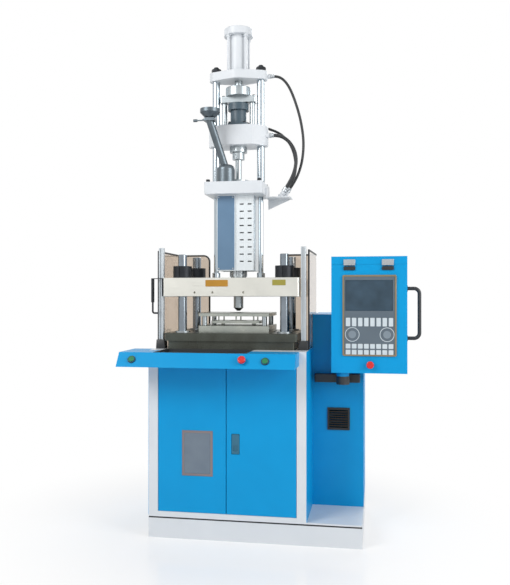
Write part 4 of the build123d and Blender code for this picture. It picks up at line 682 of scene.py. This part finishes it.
@dataclass
class Hose:
    """Hydraulic hose between two fittings, held by the machine at both ends.

    A hose with stretch becomes a fixed mesh on no body; its two heights are not read.
    The nut is given by ring heights and by how far its flats and corners stand over the
    hose, and the crimped ferrule above it by a height and a wall for each ring.
    """

    name: str
    route: list[Point]
    radius: float
    start_body: Body
    stretch: Pair | None = None
    curve_order: int = 3
    curve_steps: int = 12
    round_steps: int = 6
    nut_heights: tuple[float, ...] = (0, 1, 9, 10)
    nut_flats: float = 9.0
    nut_corners: float = 5.2
    nut_rim: float = 4.0
    ferrule: tuple[Pair, ...] = (
        (10, 3.4), (13, 3.4), (14, 2.6), (15, 3.4), (18, 3.4), (19, 2.6), (20, 3.2),
        (25, 2.8), (26, 0.4),
    )
    level_reach: float = 30.0

    def tube(self) -> None:
        """Lay the hose as a NURBS tube on the carriage; with stretch, turn it into a fixed mesh
        instead.
        """
        name = f"{self.name}_tube"
        curve = bpy.data.curves.new(name, "CURVE")
        curve.dimensions = "3D"
        spline = curve.splines.new("NURBS")
        spline.points.add(len(self.route) - 1)
        points = np.ones((len(self.route), 4))
        points[:, :3] = np.array(self.route) * MM
        spline.points.foreach_set("co", points.ravel())
        spline.order_u = self.curve_order
        spline.use_endpoint_u = True
        spline.resolution_u = self.curve_steps
        curve.bevel_depth = self.radius * MM
        curve.bevel_resolution = self.round_steps
        curve.use_fill_caps = True
        curve.materials.append(RUBBER.material())
        made = bpy.data.objects.new(name, curve)
        bpy.context.scene.collection.objects.link(made)
        if self.stretch is None:
            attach(made, Body.CARRIAGE.value)
        else:
            mesh = bpy.data.meshes.new_from_object(made)
            bpy.data.objects.remove(made)
            made = bpy.data.objects.new(name, mesh)
            bpy.context.scene.collection.objects.link(made)
            mesh.shade_smooth()
            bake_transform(made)
        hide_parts(self.name)
        LOG.info("%s: NURBS hose of %d points", made.name, len(self.route))

    def fitting(self, end: Point, toward: Point, label: str, body: Body) -> None:
        """Crimp a ferrule and its nut over one end of the hose.

        Args:
            end: where the hose meets its port.
            toward: next point of the route.
            label: added to the hose's name.
            body: that carries the port.
        """
        reach = np.array(toward) - np.array(end)
        across = (0.0, 1.0, 0.0) if abs(reach[1]) < self.level_reach else (1.0, 0.0, 0.0)
        nut = hexagon(2 * self.radius + self.nut_flats, self.radius + self.nut_corners)
        rim = circle(self.radius + self.nut_rim)
        rings = [rim, nut, nut, rim, *(circle(self.radius + wall) for _, wall in self.ferrule)]
        heights = [*self.nut_heights, *(height for height, _ in self.ferrule)]
        Piece(f"{self.name}_{label}").skin(
            stack(rings, heights), Seat(end, tuple(reach), across)
        ).place(ZINC, body, "machined_steel")

    def build(self) -> None:
        """Build the hose and its two fittings."""
        self.tube()
        self.fitting(self.route[0], self.route[1], "port_fitting", self.start_body)
        self.fitting(self.route[-1], self.route[-2], "bracket_fitting", Body.CARRIAGE)


@dataclass
class HoseSet:
    """The three hoses from crown, screw motor and block to the couplings on the bracket.

    A coupling is given by the X and Y of its foot. A hose ends at its mouth, and runs
    straight into it from a distance along its axis.
    """

    elbow_foot: float = 1855.0
    lean: float = math.radians(35)
    crown: Pair = (266.0, 6.0)
    motor: Pair = (250.0, 38.0)
    block: Pair = (248.0, -28.0)
    mouth: float = 30.0
    run_in: float = 80.0
    long_run_in: float = 100.0

    def elbow(self, spot: Pair, distance: float) -> Point:
        """Give the point at a distance along a coupling that leans to the right.

        Args:
            spot: the coupling's X and Y.
            distance: along the coupling's axis.

        Returns:
            The foot plus distance times (sin lean, 0, cos lean).
        """
        return (
            spot[0] + distance * math.sin(self.lean), spot[1],
            self.elbow_foot + distance * math.cos(self.lean),
        )

    def build(self) -> None:
        """Build the three hoses; the two that reach the injection head are left as fixed meshes.
        """
        Hose("crown_hose", [
            (182, 15, 2545), (222, 15, 2545), (261, 15, 2522), (295, 14, 2473), (328, 13, 2389),
            (358, 12, 2284), (375, 11, 2165), (367, 9, 2055), (342, 7, 1974),
            self.elbow(self.crown, self.run_in), self.elbow(self.crown, self.mouth),
        ], radius=7.5, start_body=Body.CARRIAGE).build()
        Hose("block_hose", [
            (184, -20, 2200), (232, -20, 2200), (279, -21, 2177), (315, -23, 2134),
            (335, -25, 2078), (333, -27, 2012),
            self.elbow(self.block, self.long_run_in), self.elbow(self.block, self.mouth),
        ], radius=10.0, start_body=Body.HEAD, stretch=(1900, 2186)).build()
        Hose("motor_hose", [
            (20, 70, 2310), (20, 106, 2310), (33, 140, 2309), (63, 166, 2305), (108, 178, 2296),
            (160, 172, 2278), (212, 152, 2252), (258, 126, 2212), (294, 100, 2158),
            (316, 78, 2094), (324, 60, 2026), (316, 46, 1968),
            self.elbow(self.motor, self.run_in), self.elbow(self.motor, self.mouth),
        ], radius=7.5, start_body=Body.HEAD, stretch=(1900, 2298)).build()


@dataclass
class Guards:
    """Dark edging round the guards, and the boots of the posts in front of them.

    boot_rings gives a height and an inset for each ring of a boot.
    """

    middle_x: float = 420.5
    front: float = -180.0
    back: float = 264.5
    bottom: float = 1001.0
    top: float = 1540.0
    inner_x: float = 230.0
    corner: float = 40.0
    corner_steps: int = 9
    edging: Pair = (9.0, 10.0)
    edging_round: float = 1.5
    deck_top: float = 1000.0
    post: Pair = (395.0, -200.0)
    boot: Pair = (52.0, 54.0)
    boot_corner: float = 6.0
    boot_rings: tuple[Pair, ...] = ((0, 0), (12, 0), (47, 2.5), (50, 4.5))

    def edge_path(self, hand: int) -> tuple[np.ndarray, np.ndarray, np.ndarray]:
        """Give the edging's path up the front, over the top and down the inner edge.

        At a corner the two vectors are mitred. In the round corner the outward vector
        turns from up to inwards as (cos t, sin t).

        Args:
            hand: -1 for the left guard and 1 for the right one.

        Returns:
            Points, vectors across the sheet and vectors out of its edge, n by 3 each.
        """
        turn = np.linspace(0, QUARTER, self.corner_steps)
        arc_x = self.inner_x + self.corner * (1 - np.sin(turn))
        arc_z = self.top - self.corner * (1 - np.cos(turn))
        flat, sheet = np.zeros_like(turn), np.ones_like(turn)
        line = np.concatenate([
            [[self.middle_x, self.front, self.bottom], [self.middle_x, self.front, self.top],
             [self.middle_x, self.back, self.top]],
            np.stack([arc_x, flat + self.back, arc_z], axis=1),
            [[self.inner_x, self.back, self.bottom]],
        ])
        across = np.concatenate([
            [[1, 0, 0], [1, 0, 0], [1, 1, 0]], np.stack([flat, sheet, flat], axis=1), [[0, 1, 0]],
        ])
        out = np.concatenate([
            [[0, -1, 0], [0, -1, 1], [0, 0, 1]],
            np.stack([-np.sin(turn), flat, np.cos(turn)], axis=1), [[-1, 0, 0]],
        ])
        mirror = np.array([hand, 1, 1])
        return line * mirror, across * mirror, out * mirror

    def build(self) -> None:
        """Build the edging and the two boots."""
        width, depth = self.edging
        profile = rounded_rectangle(width, depth, self.edging_round, steps=3)
        profile -= np.array([0, depth / 2 - self.edging_round])
        edging = Piece("guard_edging")
        for hand in (-1, 1):
            edging.skin(along(*self.edge_path(hand), profile))
        edging.place(DARK_PLASTIC, Body.BASE, "black_plastic")
        wide, deep = self.boot
        outlines = [
            rounded_rectangle(wide - 2 * inset, deep - 2 * inset, self.boot_corner - inset)
            for _, inset in self.boot_rings
        ]
        rings = stack(outlines, (height for height, _ in self.boot_rings))
        boots = Piece("post_boots")
        for hand in (-1, 1):
            boots.skin(rings, Seat((hand * self.post[0], self.post[1], self.deck_top)))
        boots.place(DARK_PLASTIC, Body.BASE, "black_plastic")


@dataclass
class PlatenTrim:
    """Bare plates on the moving platen's front, and the striker rod on its left arm."""

    front: float = -250.0
    brass_middle: Pair = (-72.0, 1359.0)
    brass_size: Pair = (124.0, 36.0)
    olive_middle: Pair = (268.0, 1362.0)
    olive_size: Pair = (72.0, 30.0)
    plate_sheet: Sheet = (2.0, 3.0, 0.5)
    rod_spot: Pair = (-434.0, -240.0)
    rod_radius: float = 5.0
    rod_sides: int = 20
    rod_ends: Pair = (1252.0, 1196.0)
    rod_grip: float = 20.0
    bend_steps: int = 9
    foot_reach: float = 30.0

    def plates(self) -> None:
        """Fix the two plates, left bare."""
        for name, middle, size, finish in (
            ("brass_plate", self.brass_middle, self.brass_size, BRASS),
            ("olive_plate", self.olive_middle, self.olive_size, OLIVE),
        ):
            seat = Seat((middle[0], self.front, middle[1]), (0, -1, 0))
            Piece(name).skin(slab(*size, *self.plate_sheet), seat).place(
                finish, Body.CLAMP, "machined_steel"
            )

    def striker(self) -> None:
        """Hang the bent striker rod: a circle carried down and round to the right.

        The bend is a quarter turn of twice the rod's radius.
        """
        x, y = self.rod_spot
        top, low = self.rod_ends
        bend = 2 * self.rod_radius
        turn = np.linspace(0, QUARTER, self.bend_steps)
        run = np.concatenate([[top + self.rod_grip], low + bend - bend * np.sin(turn), [low]])
        side = np.concatenate([[0], bend * (1 - np.cos(turn)), [self.foot_reach]])
        line = np.stack([x + side, np.full_like(run, y), run], axis=1)
        angle = np.concatenate([[0], turn, [QUARTER]])
        across = np.stack([np.cos(angle), np.zeros_like(run), np.sin(angle)], axis=1)
        level = np.tile([0.0, 1.0, 0.0], (len(run), 1))
        rings = along(line, across, level, circle(self.rod_radius, self.rod_sides))
        Piece("striker_rod").skin(rings).place(BLACKENED, Body.CLAMP, "dark_steel")

    def build(self) -> None:
        """Build the platen's trim."""
        self.plates()
        self.striker()


@dataclass
class ControlDressing:
    """Keys, screen, trim and hinges of the control box.

    panel and screen hold left, right, bottom and top. trim_rings gives a height over the
    panel and a reach past its outline for each ring. A hinge leaf is given by its height
    and by how far its middle lies above the pivot.
    """

    front_axis: Point = (0.0, -1.0, 0.0)
    panel: tuple[float, float, float, float] = (604.0, 882.0, 974.0, 1399.0)
    panel_front: float = -195.0
    key_front: float = -196.5
    cap_front: float = -197.2
    cap_gap: float = 1.0
    cap_corner: float = 3.0
    cap_edge: float = 0.3
    row_keys: int = 8
    key_pitch: float = 32.0
    row_z: float = 1152.0
    row_key: Pair = (24.0, 46.0)
    small_key: Pair = (26.0, 26.0)
    small_rows: Pair = (992.0, 1024.0)
    pad_spots: tuple[Pair, ...] = ((653.0, 1086.0), (835.0, 1086.0))
    pad_radius: float = 20.4
    pad_edge: float = 0.4
    pad_heights: Point = (0.0, 0.4, 0.7)
    ring_radii: Pair = (35.0, 38.0)
    ring_height: float = 0.8
    screen: tuple[float, float, float, float] = (616.0, 866.0, 1211.0, 1375.0)
    screen_back: float = -191.5
    screen_gap: float = 1.0
    screen_sheet: Sheet = (1.8, 2.0, 0.4)
    trim_corner: float = 6.0
    trim_rings: tuple[Pair, ...] = (
        (-5.0, 2.5), (1.4, 2.5), (2.2, 1.5), (2.2, -6.0), (1.6, -6.5), (0.0, -6.5),
    )
    hinge_x: Pair = (638.0, 839.0)
    hinge_pivot: Pair = (-190.0, 1457.3)
    hinge_width: float = 62.0
    upper_leaf: Pair = (24.0, 15.0)
    lower_leaf: Pair = (20.0, -20.0)
    leaf_sheet: Sheet = (7.0, 3.0, 1.0)
    knuckle_radius: float = 6.0
    knuckle_edge: float = 1.0
    knuckle_sides: int = 24
    knuckle_proud: float = 4.0

    def keys(self) -> None:
        """Lay pale caps on the keys, and a cap and a ring at each of the two pads."""
        middle = (self.panel[0] + self.panel[1]) / 2
        keys, pads = Piece("panel_keys"), Piece("panel_pads")
        steps = [i - (self.row_keys - 1) / 2 for i in range(self.row_keys)]
        spots = [(step, self.row_z, self.row_key, self.key_front) for step in steps]
        for chosen, back in (
            (steps[1:-1], self.key_front), ((steps[0], steps[-1]), self.panel_front)
        ):
            spots += [
                (step, z, self.small_key, back) for step in chosen for z in self.small_rows
            ]
        for step, z, (width, height), back in spots:
            cap = slab(
                width - self.cap_gap, height - self.cap_gap, back - self.cap_front,
                self.cap_corner, self.cap_edge,
            )
            keys.skin(cap, Seat((middle + step * self.key_pitch, back, z), self.front_axis))
        radius, (inner, outer) = self.pad_radius, self.ring_radii
        pad = stack(
            (circle(radius), circle(radius), circle(radius - self.pad_edge)), self.pad_heights
        )
        ring = stack(
            (circle(inner), circle(inner), circle(outer), circle(outer)),
            (0, self.ring_height, self.ring_height, 0),
        )
        for x, z in self.pad_spots:
            pads.skin(pad, Seat((x, self.key_front, z), self.front_axis))
            keys.skin(ring, Seat((x, self.panel_front, z), self.front_axis), looped=True)
        keys.place(KEYS, Body.BOX_DOOR, "panel_plastic")
        pads.place(PADS, Body.BOX_DOOR, "panel_plastic")

    def glass(self) -> None:
        """Lay the display's glass in the panel's recess."""
        left, right, low, high = self.screen
        seat = Seat(((left + right) / 2, self.screen_back, (low + high) / 2), self.front_axis)
        gap = self.screen_gap
        sheet = slab(right - left - gap, high - low - gap, *self.screen_sheet)
        Piece("display_glass").skin(sheet, seat).place(SCREEN, Body.BOX_DOOR, "panel_plastic")

    def trim(self) -> None:
        """Run a thin trim round the panel: a small profile carried round its outline."""
        left, right, low, high = self.panel
        seat = Seat(((left + right) / 2, self.panel_front, (low + high) / 2), self.front_axis)
        outlines = [
            rounded_rectangle(right - left + 2 * out, high - low + 2 * out, self.trim_corner + out)
            for _, out in self.trim_rings
        ]
        rings = stack(outlines, (height for height, _ in self.trim_rings))
        Piece("panel_trim").skin(rings, seat, looped=True).place(
            TRIM, Body.BOX_DOOR, "panel_plastic"
        )

    def hinges(self) -> None:
        """Fix a bright leaf with its knuckle on the box, and on the door a black leaf below it
        that paints the shadow under the hinge.
        """
        y, z = self.hinge_pivot
        width, edge = self.hinge_width, self.knuckle_edge
        round_end = circle(self.knuckle_radius - edge, self.knuckle_sides)
        barrel = circle(self.knuckle_radius, self.knuckle_sides)
        knuckle = stack((round_end, barrel, barrel, round_end), (0, edge, width - edge, width))
        upper, lower = Piece("hinge_upper_leaves"), Piece("hinge_shadow_leaves")
        for x in self.hinge_x:
            for piece, (height, rise) in ((upper, self.upper_leaf), (lower, self.lower_leaf)):
                leaf = slab(width, height, *self.leaf_sheet)
                piece.skin(leaf, Seat((x, y, z + rise), self.front_axis))
            foot = (x - width / 2, y - self.knuckle_proud, z)
            upper.skin(knuckle, Seat(foot, (1, 0, 0), (0, 0, 1)))
        upper.place(ZINC, Body.BOX, "machined_steel")
        # The black lower leaves paint the shadow under the hinges.
        lower.place(DARK_PLASTIC, Body.BOX_DOOR, "black_plastic")

    def build(self) -> None:
        """Build what dresses the control box."""
        self.keys()
        self.glass()
        self.trim()
        self.hinges()


@dataclass
class CabinetTrim:
    """Window pane of the left door, bezels of the buttons, and a dark strip that paints the shade
    in the plinth's groove.

    bezel holds the inner radius, the outer radius and the height of a ring, and plinth
    holds left, right, front and back.
    """

    pane_middle: Pair = (-155.5, 457.0)
    pane_size: Pair = (142.0, 215.0)
    pane_back: float = -341.5
    pane_sheet: Sheet = (0.9, 2.0, 0.3)
    button_spots: tuple[Point, ...] = ((-458.0, -515.0, 964.0), (235.0, -515.0, 964.0))
    apron_normal: Point = (0.0, -0.8214, 0.5704)
    bezel: Point = (15.7, 20.6, 6.4)
    bezel_edges: Pair = (0.8, 1.0)
    plinth: tuple[float, float, float, float] = (-425.0, 709.0, -340.0, 460.0)
    groove: Pair = (104.0, 112.0)
    groove_depth: float = 8.0
    strip_back: float = 1.0
    strip_corner: float = 0.5

    def pane(self) -> None:
        """Lay the gauge's pane in its window."""
        x, z = self.pane_middle
        sheet = slab(*self.pane_size, *self.pane_sheet)
        Piece("window_pane").skin(sheet, Seat((x, self.pane_back, z), (0, -1, 0))).place(
            PANE, Body.LEFT_DOOR, "window_plastic"
        )

    def bezels(self) -> None:
        """Put a ring over each button's collar: a small profile turned about its axis."""
        inner, outer, height = self.bezel
        inside, outside = self.bezel_edges
        radii = (inner, inner, inner + inside, outer - outside, outer, outer)
        ring = stack(
            (circle(radius) for radius in radii),
            (0, height - inside, height, height, height - outside, 0),
        )
        piece = Piece("button_bezels")
        for spot in self.button_spots:
            piece.skin(ring, Seat(spot, self.apron_normal), looped=True)
        piece.place(DARK_PLASTIC, Body.BASE, "black_plastic")

    def strip(self) -> None:
        """Fill the plinth's groove with a dark strip that paints its shade: four outlines joined
        in a loop.
        """
        left, right, front, back = self.plinth
        low, high = self.groove
        wide, deep = right - left, back - front
        outlines = [
            rounded_rectangle(wide - 2 * inset, deep - 2 * inset, self.strip_corner)
            for inset in (self.groove_depth, self.groove_depth, self.strip_back, self.strip_back)
        ]
        seat = Seat(((left + right) / 2, (front + back) / 2, 0))
        # The black strip paints the shade in the groove.
        Piece("plinth_groove_shade_strip").skin(
            stack(outlines, (low, high, high, low)), seat, looped=True
        ).place(RUBBER, Body.BASE, "hose_rubber")

    def build(self) -> None:
        """Build the cabinet's trim."""
        self.pane()
        self.bezels()
        self.strip()


@dataclass
class Studio:
    """Camera at the photograph's angle, plain pale floor, and soft light.

    A lamp is given by its place, its size in metres and its power in watts. The shadow
    on the floor reaches shadow_reach metres and starts to fade at the share shadow_core.
    """

    eye: Point = (786.0, -4005.0, 1296.0)
    turn: float = 9.78
    tilt: float = 0.19
    lens: float = 43.78
    middle: Point = (150.0, 0.0, 1300.0)
    floor_half: float = 9000.0
    floor_tint: str = "#F4F4F4"
    floor_gloss: float = 0.14
    floor_white: float = 0.35
    shadow_reach: float = 1.7
    shadow_core: float = 0.35
    sky: float = 0.46
    lamps: dict[str, tuple[Point, float, float]] = field(default_factory=lambda: {
        "key_lamp": ((-3200.0, -4200.0, 4300.0), 2.6, 190.0),
        "fill_lamp": ((4400.0, -2200.0, 2600.0), 2.8, 125.0),
        "back_lamp": ((600.0, 3600.0, 4200.0), 2.4, 80.0),
    })

    def camera(self) -> None:
        """Place the camera."""
        lens = bpy.data.cameras.new("camera")
        lens.lens = self.lens
        made = bpy.data.objects.new("camera", lens)
        made.location = [v * MM for v in self.eye]
        made.rotation_euler = (math.radians(90 + self.tilt), 0.0, math.radians(self.turn))
        bpy.context.scene.collection.objects.link(made)
        bpy.context.scene.camera = made

    def floor(self) -> None:
        """Lay the floor: pale and able to take a shadow near the machine, white beyond.

        The share of plain white grows smoothly from floor_white to one at shadow_reach from
        the origin, so the floor meets the white backdrop with no line between them.
        """
        made = bpy.data.materials.new("pale_studio_floor")
        made.use_nodes = True
        tree = made.node_tree
        tree.nodes.clear()
        place = add_node(tree, "ShaderNodeTexCoord").outputs["Object"]
        far = add_node(
            tree, "ShaderNodeVectorMath", {0: place}, operation="LENGTH"
        ).outputs["Value"]
        share = add_node(
            tree, "ShaderNodeMapRange",
            {"Value": far, "From Min": self.shadow_core * self.shadow_reach,
             "From Max": self.shadow_reach, "To Min": self.floor_white},
            interpolation_type="SMOOTHSTEP",
        ).outputs[0]
        seen = add_node(tree, "ShaderNodeLightPath").outputs["Is Camera Ray"]
        mixed = add_node(
            tree, "ShaderNodeMath", {0: share, 1: seen}, operation="MULTIPLY"
        ).outputs[0]
        pale = add_node(
            tree, "ShaderNodeBsdfPrincipled",
            {"Base Color": linear(self.floor_tint), "Roughness": self.floor_gloss},
        ).outputs[0]
        white = add_node(
            tree, "ShaderNodeEmission", {"Color": linear("#FFFFFF"), "Strength": 1.0}
        ).outputs[0]
        surface = add_node(tree, "ShaderNodeMixShader", {0: mixed, 1: pale, 2: white}).outputs[0]
        add_node(tree, "ShaderNodeOutputMaterial", {"Surface": surface})
        half = self.floor_half * MM
        corners = [(-half, -half, 0), (half, -half, 0), (half, half, 0), (-half, half, 0)]
        mesh = bpy.data.meshes.new("studio_floor")
        mesh.from_pydata(corners, [], [(0, 1, 2, 3)])
        mesh.materials.append(made)
        sheet = bpy.data.objects.new("studio_floor", mesh)
        bpy.context.scene.collection.objects.link(sheet)

    def lights(self) -> None:
        """Hang the soft lamps, each aimed at the machine's middle."""
        for name, (spot, size, power) in self.lamps.items():
            lamp = bpy.data.lights.new(name, "AREA")
            lamp.size, lamp.energy = size, power
            made = bpy.data.objects.new(name, lamp)
            made.location = [v * MM for v in spot]
            aim = np.array(self.middle) - np.array(spot)
            flat = math.hypot(aim[0], aim[1])
            made.rotation_euler = (
                QUARTER + math.atan2(aim[2], flat), 0.0, math.atan2(-aim[0], aim[1])
            )
            bpy.context.scene.collection.objects.link(made)

    def backdrop(self) -> None:
        """Set a white sky that lights weakly, but shows full white to eye, gloss and glass."""
        world = bpy.data.worlds.new("white_studio")
        world.use_nodes = True
        tree = world.node_tree
        tree.nodes.clear()
        rays = add_node(tree, "ShaderNodeLightPath").outputs
        shown = rays["Is Camera Ray"]
        for ray in ("Is Glossy Ray", "Is Transmission Ray"):
            shown = add_node(
                tree, "ShaderNodeMath", {0: shown, 1: rays[ray]}, operation="MAXIMUM"
            ).outputs[0]
        strength = add_node(
            tree, "ShaderNodeMapRange", {"Value": shown, "To Min": self.sky, "To Max": 1.0}
        ).outputs[0]
        sky = add_node(
            tree, "ShaderNodeBackground", {"Color": linear("#FFFFFF"), "Strength": strength}
        )
        add_node(tree, "ShaderNodeOutputWorld", {"Surface": sky.outputs[0]})
        bpy.context.scene.world = world
        bpy.context.scene.view_settings.view_transform = "Standard"

    def build(self) -> None:
        """Build the studio."""
        self.camera()
        self.floor()
        self.lights()
        self.backdrop()


def dress_cad() -> None:
    """Give every CAD node its finish; some finishes also carry painted shade and painted
    reflections.
    """
    for finish, names in CAD_FINISHES.items():
        for name in names:
            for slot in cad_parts[name].material_slots:
                slot.material = finish.material()
        LOG.info("%s on %d nodes", finish.name, len(names))


def main() -> None:
    """Build the scene in order."""
    logging.basicConfig(level=logging.INFO, format="%(name)s: %(message)s")
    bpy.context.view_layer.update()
    Studio().build()
    dress_cad()
    for assembly in (Tower(), HoseSet(), Guards(), PlatenTrim(), ControlDressing(), CabinetTrim()):
        assembly.build()


if __name__ == "__main__":
    main()
